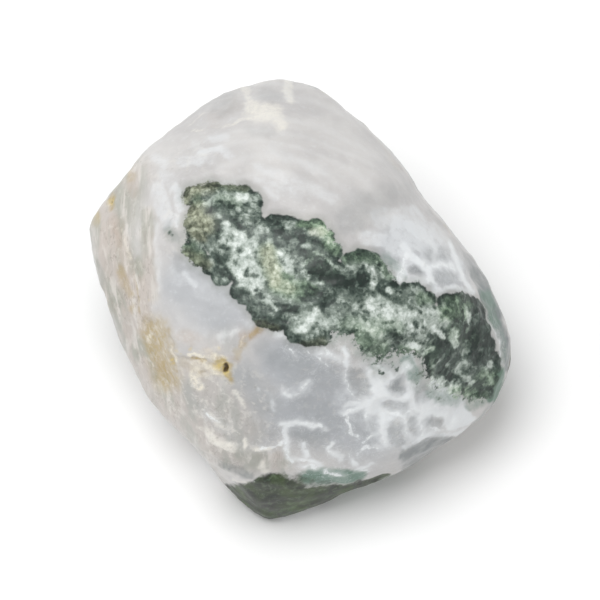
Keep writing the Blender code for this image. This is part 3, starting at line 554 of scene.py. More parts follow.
earth = {
    # coarser stone with flecks in it
    "flecked": (
        (-9, -8, -7, -13, 2.6, 1), (-5, -8, -3.4, -12.6, 2, 0.7), (-16.6, 8, -15.6, 0, 2.4, 0.6),
        (-14.6, -2, -12, -9, 2, 0.8), (-13, 12, -9, 13.4, 1.8, 0.5), (1, -7, 3, -13, 2.4, 0.35),
        (7, -6.4, 9.6, -12.6, 2.2, 0.5), (-12, 8, -12, 5, 1.4, 0.5), (3.4, -4.6, 5.6, -6.6, 1.6, 0.6),
    ),
    # warm grey rind on the left flank and the lip
    "rind": (
        (-16, 11.5, -17.6, 6, 2.3, 0.8), (-17.6, 6, -16.6, 0, 2.3, 1), (-16.6, 0, -14.6, -5, 2, 0.9),
        (-14.6, -5, -12, -9.6, 2, 0.8), (-12, -9.6, -8, -14, 2, 0.6), (-15, 3, -14.6, -2, 1, 1),
        (-8.5, -14.2, -2, -15.2, 1.3, 0.65), (-9.8, -7, -7.4, -10, 1.8, 0.45),
        (-5.8, -3.4, -8, -4.4, 1.2, 0.3), (-7, -9, -5, -12, 1.6, 0.35), (-14.2, 8, -13.8, 0.5, 0.8, 0.8),
    ),
    "ochre": (
        (-13.4, -2.9, -12.4, -7, 1.5, 0.72), (-10.6, -5.8, -9, -6.6, 0.8, 0.24),
        (-7.9, -5.8, -7.1, -6.4, 0.8, 0.34), (-13.2, -2.7, -12.7, -4.2, 0.8, 0.8),
        (-12.8, -4.2, -12.5, -6.8, 0.85, 0.75), (-11.8, -7.2, -11.2, -7.4, 0.4, 0.5),
        (-9, -5.6, -8, -6.4, 0.6, 0.3), (-6, -5.4, -5.2, -4, 0.35, 0.35),
        (-12.4, -6.6, -12.4, -7.8, 0.6, 0.5), (-9.8, -5.45, -8.8, -5.6, 0.18, 0.9),
        (-12, -4.6, -11.3, -6.4, 0.22, 0.6), (-7.7, -5.5, -7, -5.7, 0.3, 0.8),
        (-7.8, -6, -7.3, -6.4, 0.36, 0.6), (-6.7, -6.9, -6.3, -7.2, 0.3, 0.7),
        (-6.4, -6.2, -6.3, -6.8, 0.25, 0.6), (-9.4, -6.6, -8.8, -6.7, 0.25, 0.4),
        (-18.8, 7.9, -19, 7.3, 0.45, 0.4), (-17.5, 9.9, -17.3, 8.7, 0.35, 0.7),
        (-15.9, 11.9, -15.6, 11.2, 0.4, 0.35), (-15.2, 2, -15, -1.3, 0.14, 0.5),
        (-15.6, -0.5, -15.7, -0.9, 0.3, 0.5), (-16.8, 2.8, -15.9, 0.6, 0.45, 0.45),
        (-12.1, -2.4, -11.9, -3.6, 0.16, 0.5), (-13.4, -1.8, -13, -2.4, 0.35, 0.4),
        (-6, -4.6, -5.7, -5.2, 0.3, 0.3), (-4.6, -3.3, -3.6, -2.8, 0.25, 0.5),
    ),
    "peach": (
        (-4.9, -3.3, -3.5, -2.8, 0.45, 1), (-5.4, -4.2, -4.9, -3.3, 0.3, 0.6),
        (-17, 7.2, -16, 2.6, 0.7, 0.35), (-17.2, 7, -16.9, 4.8, 0.35, 0.5),
        (-16.8, 3.2, -16, 0.8, 0.45, 0.45), (-10.8, -3.2, -9.8, -3.6, 0.6, 0.4),
        (-15.6, 12.6, -15.4, 9.8, 0.4, 0.35), (-6.4, -5.3, -5.9, -5.7, 0.35, 0.55),
        (-13.2, -6.3, -12.2, -6.6, 0.3, 0.6), (-15.4, 2.4, -15.2, 1.3, 0.16, 0.8),
        (-8.7, -4.6, -8.3, -4.9, 0.3, 0.35), (-8, 17, -6, 18.4, 0.8, 0.15),
    ),
    "cream": (
        (-10, -5, -9.1, -5.2, 0.3, 1.1), (-9.1, -5.1, -7.8, -5.1, 0.26, 0.9),
        (-13.95, -3.3, -13.9, -3.9, 0.26, 0.9), (-9.9, -7, -9.3, -8.1, 0.5, 1),
        (-8.5, -6.2, -8.3, -6.3, 0.28, 0.8), (-9.8, -6.2, -9.6, -7.2, 0.5, 0.8),
        (-7.2, -7.3, -6.4, -7.6, 0.4, 0.45), (-9.1, -5.8, -8.5, -6.1, 0.45, 0.75),
        (-8.2, -6.4, -7.7, -6.8, 0.42, 0.95), (-8, -5.7, -7.5, -6.2, 0.35, 0.5),
        (-9.6, -4.7, -7.6, -4.5, 0.25, 0.5), (-7.4, -5.3, -6.8, -5.5, 0.22, 0.8),
        (-6, -6.6, -6, -6, 0.25, 0.45), (-11.9, -4.2, -11.7, -4.9, 0.13, 0.7),
        (-11.7, -4.9, -11.1, -6, 0.13, 0.7), (-4.95, -3.3, -5.5, -4.3, 0.14, 0.7),
        (-8.9, -7, -8.2, -6.9, 0.3, 0.5), (-16.6, 6.8, -15.8, 3.8, 0.16, 0.5),
        (-7.4, -6.8, -7, -7.1, 0.2, 0.5), (-13, -1.9, -12.6, -2.4, 0.14, 0.5),
    ),
    # brown pits: right, up, radius, depth, darkness
    "pits": (
        (-6.78, -6.52, 0.38, 0.26, 1), (-6.9, -6.3, 0.38, 0.24, 1), (-7.45, -6.15, 0.75, 0.03, 0.4),
        (-6.6, -7, 0.34, 0.02, 0.24), (-17.5, 9.2, 0.26, 0.16, 0.6), (-17.4, 9.7, 0.5, 0.02, 0.08),
        (-18.9, 7.7, 0.5, 0.02, 0.16), (-9.9, -4.3, 0.22, 0.08, 0.35), (-11.4, -4.5, 0.22, 0.07, 0.28),
        (-11, -4.75, 0.18, 0.06, 0.25), (-11.8, -5.4, 0.2, 0.09, 0.38), (-11.6, -5.8, 0.2, 0.08, 0.32),
        (-11.2, -7.1, 0.2, 0.06, 0.22), (-7.5, -4.6, 0.22, 0.05, 0.22), (-14.05, 0.1, 0.14, 0.07, 0.4),
        (1, 20.1, 0.2, 0.1, 0.4),
    ),
    # green and olive on the face under the lip, the stone's own green darkened with painted shade where the
    # face tucks under the lip and down to the floor
    "green": (
        (-6.2, -18.4, -4.6, -18.1, 1.2, 1), (-4.6, -18, -2.6, -17.3, 1.1, 1),
        # the first stroke of this line and the first of the next are painted shadow under the lip
        (-3.8, -17, -2.4, -16.9, 0.6, 0.9), (-2.4, -17.4, -0.2, -17.9, 1, 1), (-4.6, -19, -1, -19.2, 1.4, 1),
        (-1.6, -16.9, 3, -17.2, 0.7, 0.45), (-2.4, -18.4, 0.6, -18.6, 1.4, 1),
        (0.6, -18.6, 3.4, -18.3, 1.3, 1), (3.2, -18.1, 5.6, -17.6, 0.9, 1), (5.6, -17.6, 8, -16.8, 0.7, 0.9),
        (-5, -20.2, 3, -20, 1.9, 1), (0, -19.4, 6, -18.6, 1.2, 1),
    ),
    # jade tint in the clear stone
    "jade": (
        (9.8, -5.8, 10.8, -7, 0.75, 0.7), (8.2, 4, 9.2, 2.8, 0.65, 0.48), (9.2, 3, 9.5, 2.2, 0.35, 0.36),
        (12.4, -9, 14.8, -9.8, 0.6, 0.52), (18.9, -7, 18.3, -9, 0.7, 1.15),
        (17.4, -9.6, 16, -10.2, 0.4, 0.45), (0.8, -16.6, 5.4, -16.4, 0.8, 1.1),
        (17.6, 0.4, 18.4, -2, 0.8, 0.75), (18.5, -2.2, 19.3, -5.4, 0.6, 0.45), (3.2, -4, 5, -5, 0.6, 0.25),
        (6.6, -6.2, 7.8, -6.5, 0.4, 0.34), (10.6, -7.4, 11, -8.4, 0.5, 0.3), (16.2, 3, 17.2, 1.4, 0.7, 0.16),
        (-12.2, 6.6, -11.4, 5.6, 0.6, 0.2), (5, 5, 5.8, 4.6, 0.4, 0.2),
    ),
    # cool, faintly lavender stone
    "cool": (
        (-10.5, 1.5, -7, -1.5, 2.6, 0.8), (-1, -6, 3, -9, 3, 1), (0, -10, 6, -12, 3.4, 1),
        (8, -9, 10, -12, 3, 0.8), (9, 5, 14, 2.6, 2.2, 0.8), (-5, -7, -2, -12, 1.6, 0.5),
    ),
}


# the sides that the picture doesn't show: the same growth carried on, in mm from the stone's origin

hidden = {
    "seed": 41,
    "frontEdge": (-0.10, 0.3),      # where the camera's view ends on the surface, and over what stretch
    "frontLoss": 1.4,               # how far this growth draws back from the side in view
    # masses of moss: from, to, radius at each end
    "masses": (
        ((18.6, -7.6, 8.4), (18.4, -3, 5.6), 1.2, 2), ((18.4, -3, 5.6), (15.6, 3.4, 4.2), 2, 1.4),
        ((15.6, 3.4, 4.2), (15, 6.6, 6), 1.4, 0.8), ((9.4, 13.2, 9.4), (4.4, 16.2, 8.2), 1.4, 2.7),
        ((4.4, 16.2, 8.2), (-0.4, 16.6, 4.6), 2.7, 1.7), ((1, 17.6, 9), (1.4, 18.4, 12), 1.4, 0.8),
        ((-15.4, 10, 6.4), (-16.6, 5, 4.6), 2.1, 1.6), ((-16.6, 5, 4.6), (-15, 0.6, 2.2), 1.6, 1),
        ((5.4, -16, 1.4), (9, -12.8, 1.2), 1.2, 1.8), ((7, -5, 0), (-3, 2, 0), 3.4, 2.4),
        ((-3, 2, 0), (-7, 6, 0), 2.4, 1.4),
    ),
    "rimRoughness": (3.2, 0.9),     # size and reach
    "rimBand": (-0.35, 0.25),       # lobes start this far from the edge, give or take
    "lobeSize": (0.8, 1.5),
    "lobeGap": 1.15,
    "islands": 26,
    "islandBand": (-2.2, -0.7),
    "islandSize": (0.15, 0.5),
    "plainTone": 0.14,
    "deepMoss": (0.8, 1.6),         # where patches of deep moss start inside it, and over what stretch
    "mossNearness": 1.8,            # green stone lies this close to it
    # patches of each mark: strength, size, seed, then the noise at which it starts and is full
    "patches": {
        "paleMoss": (0.55, 2.6, 21, -0.2, 0.6),
        "deepMoss": (0.30, 4.0, 22, -0.3, 0.2),
        "mossGreen": (0.8, 3.0, 23, -0.1, 0.5),
        "mossOlive": (0.7, 3.4, 24, 0.0, 0.5),
        "veil": (0.6, 3.0, 25, 0.10, 0.55),
        "windowAndShade": (0.6, 5.0, 26, 0.05, 0.5),
        "rind": (0.8, 8.0, 27, 0.02, 0.45),
        "ochre": (0.6, 4.0, 28, 0.28, 0.6),
        "peach": (0.4, 3.4, 29, 0.25, 0.6),
        "green": (0.55, 2.4, 30, -0.1, 0.5),
        "cool": (1.0, 7.0, 31, -0.1, 0.4),
        "flecked": (0.7, 5.0, 32, -0.1, 0.4),
    },
}

edgeStart, edgeStretch = hidden["frontEdge"]
frontShare = np.clip((facing - edgeStart) / edgeStretch, 0, 1)       # 1 where the camera sees the surface
hiddenShare = 1 - frontShare


def smoothUnion(a, b):
    # lobes meet in a small fillet rather than a knife notch
    blend = moss["fillet"]
    share = np.clip(0.5 + (a - b) / (2 * blend), 0, 1)
    return b + (a - b) * share + blend * share * (1 - share)


def mossField():
    field = np.full(len(places), moss["farOutside"])
    for right, up, radius in moss["lobes"]:
        distance, _ = strokeDistance(right, up, right, up, seen)
        field = smoothUnion(field, radius - distance)
    for right, up, right2, up2, radius, radius2 in moss["body"]:
        distance, share = strokeDistance(right, up, right2, up2, seen)
        field = smoothUnion(field, radius + (radius2 - radius) * share - distance)
    return field


def hiddenMoss():
    draw = np.random.default_rng(hidden["seed"])
    field = np.full(len(places), moss["farOutside"])
    for start, end, radius, radius2 in hidden["masses"]:
        start, end = (places[np.argmin(np.linalg.norm(places - point, axis=1))] for point in (start, end))
        share = np.clip(((places - start) @ (end - start)) / ((end - start) @ (end - start)), 0, 1)
        away = np.linalg.norm(places - start - share[:, None] * (end - start), axis=1)
        field = smoothUnion(field, radius + (radius2 - radius) * share - away)
    size, reach = hidden["rimRoughness"]
    field = field + reach * roughness3d(size, 11, 2)
    # lobes sit along the rim, islands a little outside it
    rimMiddle, rimWidth = hidden["rimBand"]
    rim = draw.permutation(np.flatnonzero(np.abs(field - rimMiddle) < rimWidth))
    taken = []
    for pick in rim:
        centre = places[pick]
        if all(np.linalg.norm(centre - other) > hidden["lobeGap"] for other in taken):
            taken.append(centre)
    for centre in taken:
        away = np.linalg.norm(places - centre, axis=1)
        field = smoothUnion(field, draw.uniform(*hidden["lobeSize"]) - away)
    far, close = hidden["islandBand"]
    outside = draw.permutation(np.flatnonzero((field > far) & (field < close) & (hiddenShare > 0.5)))
    for pick in outside[:hidden["islands"]]:
        away = np.linalg.norm(places - places[pick], axis=1)
        field = np.maximum(field, draw.uniform(*hidden["islandSize"]) - away)
    return field


def layTones(field, strokes):
    for right, up, right2, up2, radius, lightness in strokes:
        distance, _ = strokeDistance(right, up, right2, up2)
        field = field + (lightness - field) * softMask(distance, radius)
    return field


def veinField():
    nearest = np.full(len(places), milk["farFromVeins"])
    for halfWidth, *points in milk["veins"]:
        for (right, up), (right2, up2) in zip(points, points[1:]):
            distance, _ = strokeDistance(right, up, right2, up2)
            nearest = np.minimum(nearest, distance - halfWidth)
    return nearest


def netOfCells():
    # each cell's gap to its neighbour: the net is white between cells and whitest midway
    gaps = np.array([strokeDistance(*ends)[0] - radius for *ends, radius, _ in milk["cells"]])
    order = gaps.argsort(axis=0)
    gap, nextGap = np.take_along_axis(gaps, order[:2], axis=0)
    darkness = np.array([cell[-1] for cell in milk["cells"]])[order[0]]
    edge = milk["cellEdge"]
    wall = np.clip((gap + edge) / milk["wallBorder"], 0, 1)
    share = paint(milk["net"])
    middle = (nextGap - gap) / 2 + milk["lineLoss"] * np.clip(1 - milk["lineReach"] * share, 0, 1)
    return share * wall, darkness * np.clip((edge - gap) / milk["cellBorder"], 0, 1), middle


def patches(name):
    # soft patches where the noise lies above low
    strength, size, seed, low, high = hidden["patches"][name]
    return strength * np.clip((roughness3d(size, seed, 2) - low) / (high - low), 0, 1)


frontMoss, wildMoss = mossField(), hiddenMoss() - hidden["frontLoss"] * frontShare
mossEdge = np.maximum(frontMoss, wildMoss)
wild = np.clip((wildMoss - frontMoss) / moss["wildBorder"] + 0.5, 0, 1)
deepStart, deepStretch = hidden["deepMoss"]
deepInside = np.clip((wildMoss - deepStart) / deepStretch, 0, 1)
wildTone = hidden["plainTone"] + patches("paleMoss") + deepInside * patches("deepMoss")
frontTone = layTones(np.full(len(places), moss["plainTone"]), moss["tones"])
netWall, cellDark, netMiddle = netOfCells()
windowsAndShade = (paint(milk["windowsAndShade"]), paint(milk["firmWindowsAndShade"], firmMask), cellDark)
veils = (paint(milk["veils"], firmMask), milk["netWhite"] * netWall)
nearMoss = np.clip(1 + wildMoss / hidden["mossNearness"], 0, 1)

fields = {
    "mossEdge": mossEdge,
    "mossTone": frontTone * (1 - wild) + wildTone * wild,
    "mossGreen": np.maximum(paint(moss["greens"]), wild * patches("mossGreen")),
    "mossOlive": np.maximum(paint(moss["olives"]), wild * patches("mossOlive")),
    "veil": np.maximum.reduce([*veils, hiddenShare * patches("veil")]),
    "windowAndShade": np.maximum.reduce([*windowsAndShade, hiddenShare * patches("windowAndShade")]),
    "veinEdge": np.minimum(veinField(), netMiddle - milk["lineHalfWidth"]),
    "green": np.maximum(paint(earth["green"]), nearMoss * patches("green")),
    "hiddenSide": hiddenShare,
}
for name, strokes in (("faded", moss["faded"]), ("creamBand", milk["creams"]),
                      ("cream", earth["cream"]), ("jade", earth["jade"])):
    fields[name] = paint(strokes)
for name in ("rind", "ochre", "peach", "flecked", "cool"):
    fields[name] = np.maximum(paint(earth[name]), hiddenShare * patches(name))
print("marks placed")


# relief: broken flats, shell-shaped chips, lumps, furrows, ripples and pits

relief = {
    "seed": 7,
    "heart": (0.0, 0.0, 14.0),
    "groundRise": (0.05, 0.8),      # the resting flat ends here, and the relief is full so much higher
    "swell": (3.4, 0.10),           # size and height
    # flats struck off the rounded body
    "flats": 46,
    "flatDepth": (0.10, 0.34),
    "flatMost": 0.5,
    "flatShare": 0.92,
    "flatReach": 9.0,
    "flatBorder": 3.0,
    "sameWay": 0.995,
    # chips along the edges: fitting ball, depth and reach
    "chips": 70,
    "chipBall": (3.0, 9.0),
    "chipDepth": (0.06, 0.20),
    "chipReach": 3.0,
    "edgeScatter": (2.0, 0.3),
    "bruises": 160,
    "bruiseSize": (0.3, 0.9),
    "bruiseDepth": (0.021, 0.07),
    "lumps": ((5.5, 0.07), (2.3, 0.05), (0.9, 0.025), (0.45, 0.012)),     # size and height
    # bands down the left flank: how closely they follow right, up and near
    "furrowRight": (0.95, 0.12),
    "furrowUp": 0.11,
    "furrowNear": 0.75,
    "furrowDepth": 0.14,
    "furrowSpread": 1.3,            # how far the furrows run out past the full rind
    # ripples round the place of the blow
    "blow": (-4.0, -2.0),
    "rippleSpacing": 1.45,
    "rippleHeight": 0.022,
    "rippleWobble": (6.0, 0.9),
    "dome": (-1.0, 7.5, 9.5, 3.0),  # where ripples show: middle, lowest, half width, border
    "mossGrain": (0.55, 0.035),
    "mossGrainBorder": 0.4,
    "pitSteepness": 1.2,
    "pastBox": 0.25,                # most that the stone may pass the solid's box
    # creased edges where faces meet: height, reach, then the points that each passes
    "creases": (
        (0.2, 0.9, (13.2, 7.4), (14.3, 4.6), (15.3, 2.4), (16.4, 0.6), (17.4, -1.4), (18.2, -4),
         (18.7, -6.6)),
        (0.2, 0.9, (-14.4, 12.4), (-13.6, 9), (-13.2, 5), (-12.9, 1), (-12.4, -2.6), (-11.6, -5.4)),
        (0.16, 0.7, (-12.4, -2.6), (-10.2, -4), (-8, -4.9), (-6, -4.4), (-4.2, -3), (-2.6, -2.2)),
        (0.15, 0.8, (-11.6, -5.4), (-10.4, -9), (-9.2, -12), (-7.6, -13.6)),
        (0.22, 0.7, (-8.4, -13.2), (-6.2, -14), (-3.4, -15.4), (0.4, -15.9), (4.4, -16.3), (8.4, -14.9)),
        (0.18, 0.7, (8.6, -14.6), (10, -13.8), (11.8, -12.6), (14, -12.8), (16.2, -12.2)),
        (0.12, 1, (2.2, 7.6), (4.6, 8.8), (7.4, 10.4), (9.8, 11.4)),
        (-0.1, 0.5, (-10.3, 16), (-6.3, 16.5), (-4.2, 17.2), (-1.8, 16.2)),
    ),
    # grooves and ridges: right, up, right, up, radius, height
    "ledges": (
        (-8.6, -14.7, -5.4, -15.8, 0.5, -0.34), (-8.2, -13, -6.2, -13.6, 0.5, 0.16),
        (-5, -13.9, -2.9, -14, 0.4, 0.12), (-3.6, -15.5, -3, -15.9, 0.5, 0.2),
        (-6.9, -16.9, -5.8, -16.8, 0.3, 0.14), (-12.1, -2.6, -11.3, -6.6, 0.22, -0.12),
        (-11.2, -5.2, -7.4, -5.9, 0.22, -0.12), (-13.4, -2.4, -12.6, -7.4, 0.9, -0.14),
        (-15.3, 2.4, -15, -1.6, 0.2, -0.1), (-10.4, -7, -9.4, -8.4, 0.5, 0.1),
        (-6, -4.2, -3, -2.8, 0.25, -0.07), (9.6, -14.2, 14, -12.9, 0.6, -0.12),
        (15.6, 2.2, 18.2, -2.2, 0.9, -0.1), (-10.3, 16, -4.4, 17, 0.3, -0.06),
        (1, 20.1, 3.6, 19.1, 0.25, -0.08), (2.5, 19.8, 10.2, 13.6, 2.2, 0.4),
        (-18.8, 7.5, -15, 13.6, 1.8, 0.28), (-18, -2, -12, -11.5, 1.8, 0.25),
    ),
}


def furrows():
    # bands that run down the left flank
    right, up, near = seen.T
    byRight, byUp = relief["furrowRight"]
    stretched = (right * byRight + up * byUp, up * relief["furrowUp"], near * relief["furrowNear"])
    return np.array([noise.noise(Vector(p)) for p in np.stack(stretched, axis=1)])


def strikeFlats(moved, draw):
    for _ in range(relief["flats"]):
        way = draw.normal(size=3)
        way /= np.linalg.norm(way)
        nearest = np.flatnonzero(normals @ way > relief["sameWay"])
        if not len(nearest):
            continue
        pick = places[draw.choice(nearest)]
        over = (moved - pick) @ way + draw.uniform(*relief["flatDepth"])
        away = np.linalg.norm(places - pick, axis=1)
        close = np.clip((relief["flatReach"] - away) / relief["flatBorder"], 0, 1)
        struck = np.clip(over, 0, relief["flatMost"]) * close * onGround * relief["flatShare"]
        moved -= way * struck[:, None]
    return moved


def chipsAndBruises(draw):
    # chips fall on the edges, which lie farthest out
    outward = places - np.array(relief["heart"])
    size, share = relief["edgeScatter"]
    scatter = roughness3d(size, 14) * share
    outness = scatter + np.linalg.norm(outward, axis=1) - np.abs((outward * normals).sum(axis=1))
    edgeSpots = np.flatnonzero(onGround > 0.5)
    edgeSpots = edgeSpots[np.argsort(-outness[edgeSpots])][: len(edgeSpots) // 3]
    height = np.zeros(len(places))
    for pick in draw.choice(edgeSpots, relief["chips"]):
        ball, deep = draw.uniform(*relief["chipBall"]), draw.uniform(*relief["chipDepth"])
        away = places - places[pick]
        aslant = away - normals[pick] * (away @ normals[pick])[:, None]
        cup = deep - (aslant ** 2).sum(axis=1) / (2 * ball)
        cup[np.linalg.norm(away, axis=1) > relief["chipReach"]] = 0
        height -= np.clip(cup, 0, None)
    for pick in draw.integers(0, len(places), relief["bruises"]):
        size = draw.uniform(*relief["bruiseSize"])
        cup = np.clip(1 - (np.linalg.norm(places - places[pick], axis=1) / size) ** 2, 0, 1)
        height -= draw.uniform(*relief["bruiseDepth"]) * cup
    return height


def rippleField():
    seenRight, seenUp = seen[:, 0], seen[:, 1]
    blowRight, blowUp = relief["blow"]
    size, reach = relief["rippleWobble"]
    fromBlow = np.hypot(seenRight - blowRight, seenUp - blowUp) + reach * roughness3d(size, 7)
    middle, lowest, halfWidth, border = relief["dome"]
    upOnDome = np.clip((seenUp - lowest) / border, 0, 1)
    acrossDome = np.clip((halfWidth - np.abs(seenRight - middle)) / border, 0, 1)
    waves = np.sin(2 * math.pi * fromBlow / relief["rippleSpacing"])
    return waves * (upOnDome * acrossDome * frontShare)


draw = np.random.default_rng(relief["seed"])
flatTop, fullRise = relief["groundRise"]
onGround = np.clip((places[:, 2] - flatTop) / fullRise, 0, 1)
size, tall = relief["swell"]
moved = places + normals * (tall * roughness3d(size, 13, 3) * onGround)[:, None]
moved = strikeFlats(moved, draw)
height = chipsAndBruises(draw)
for number, (size, tall) in enumerate(relief["lumps"]):
    height += tall * roughness3d(size, number + 1, 2)
height += relief["furrowDepth"] * furrows() * np.clip(fields["rind"] * relief["furrowSpread"], 0, 1)
for *ends, radius, tall in relief["ledges"]:
    height += tall * softMask(strokeDistance(*ends)[0], radius)
for tall, reach, *points in relief["creases"]:
    distance = np.min([strokeDistance(*a, *b)[0] for a, b in zip(points, points[1:])], axis=0)
    height += tall * np.exp(-distance / reach)
fields["ripple"] = rippleField()
height += relief["rippleHeight"] * fields["ripple"]
size, tall = relief["mossGrain"]
height += tall * np.clip(mossEdge / relief["mossGrainBorder"], 0, 1) * roughness3d(size, 3, 2)

fields["pit"] = np.zeros(len(places))
for right, up, radius, depth, darkness in earth["pits"]:
    distance, _ = strokeDistance(right, up, right, up)
    bowl = np.exp(-((distance / radius) ** 2) * relief["pitSteepness"])
    height -= depth * bowl
    fields["pit"] = np.maximum(fields["pit"], bowl * darkness)

moved = moved + normals * (height * onGround)[:, None]
moved[:, 2] = np.maximum(moved[:, 2], 0.0)
low, high = np.array(cadBox[0]) / mm, np.array(cadBox[1]) / mm
moved = np.clip(moved, low - relief["pastBox"], high + relief["pastBox"])
agate.data.vertices.foreach_set("co", (moved * mm).ravel())
for name, values in fields.items():
    layer = agate.data.attributes.new(name, "FLOAT", "POINT")
    layer.data.foreach_set("value", values.astype(np.float32))
agate.data.update()
bpy.ops.object.shade_smooth()
shift = np.linalg.norm(moved - places, axis=1)
print("relief worked in, on average", round(shift.mean(), 3), "mm, at most", round(shift.max(), 3), "mm")


# the stone's finish: colours as they show in the studio's light

lightOnStone = 1.16
shine = 0.012       # what the gloss adds to every colour


def seenAs(red, green, blue):
    shares = [value / 255 for value in (red, green, blue)]
    linear = [share / 12.92 if share < 0.04045 else ((share + 0.055) / 1.055) ** 2.4 for share in shares]
    return tuple(max(0.0, value - shine) / lightOnStone for value in linear)


def seenRamp(*shades):      # evenly spaced from dark to light
    return [(step / (len(shades) - 1), seenAs(*shade)) for step, shade in enumerate(shades)]


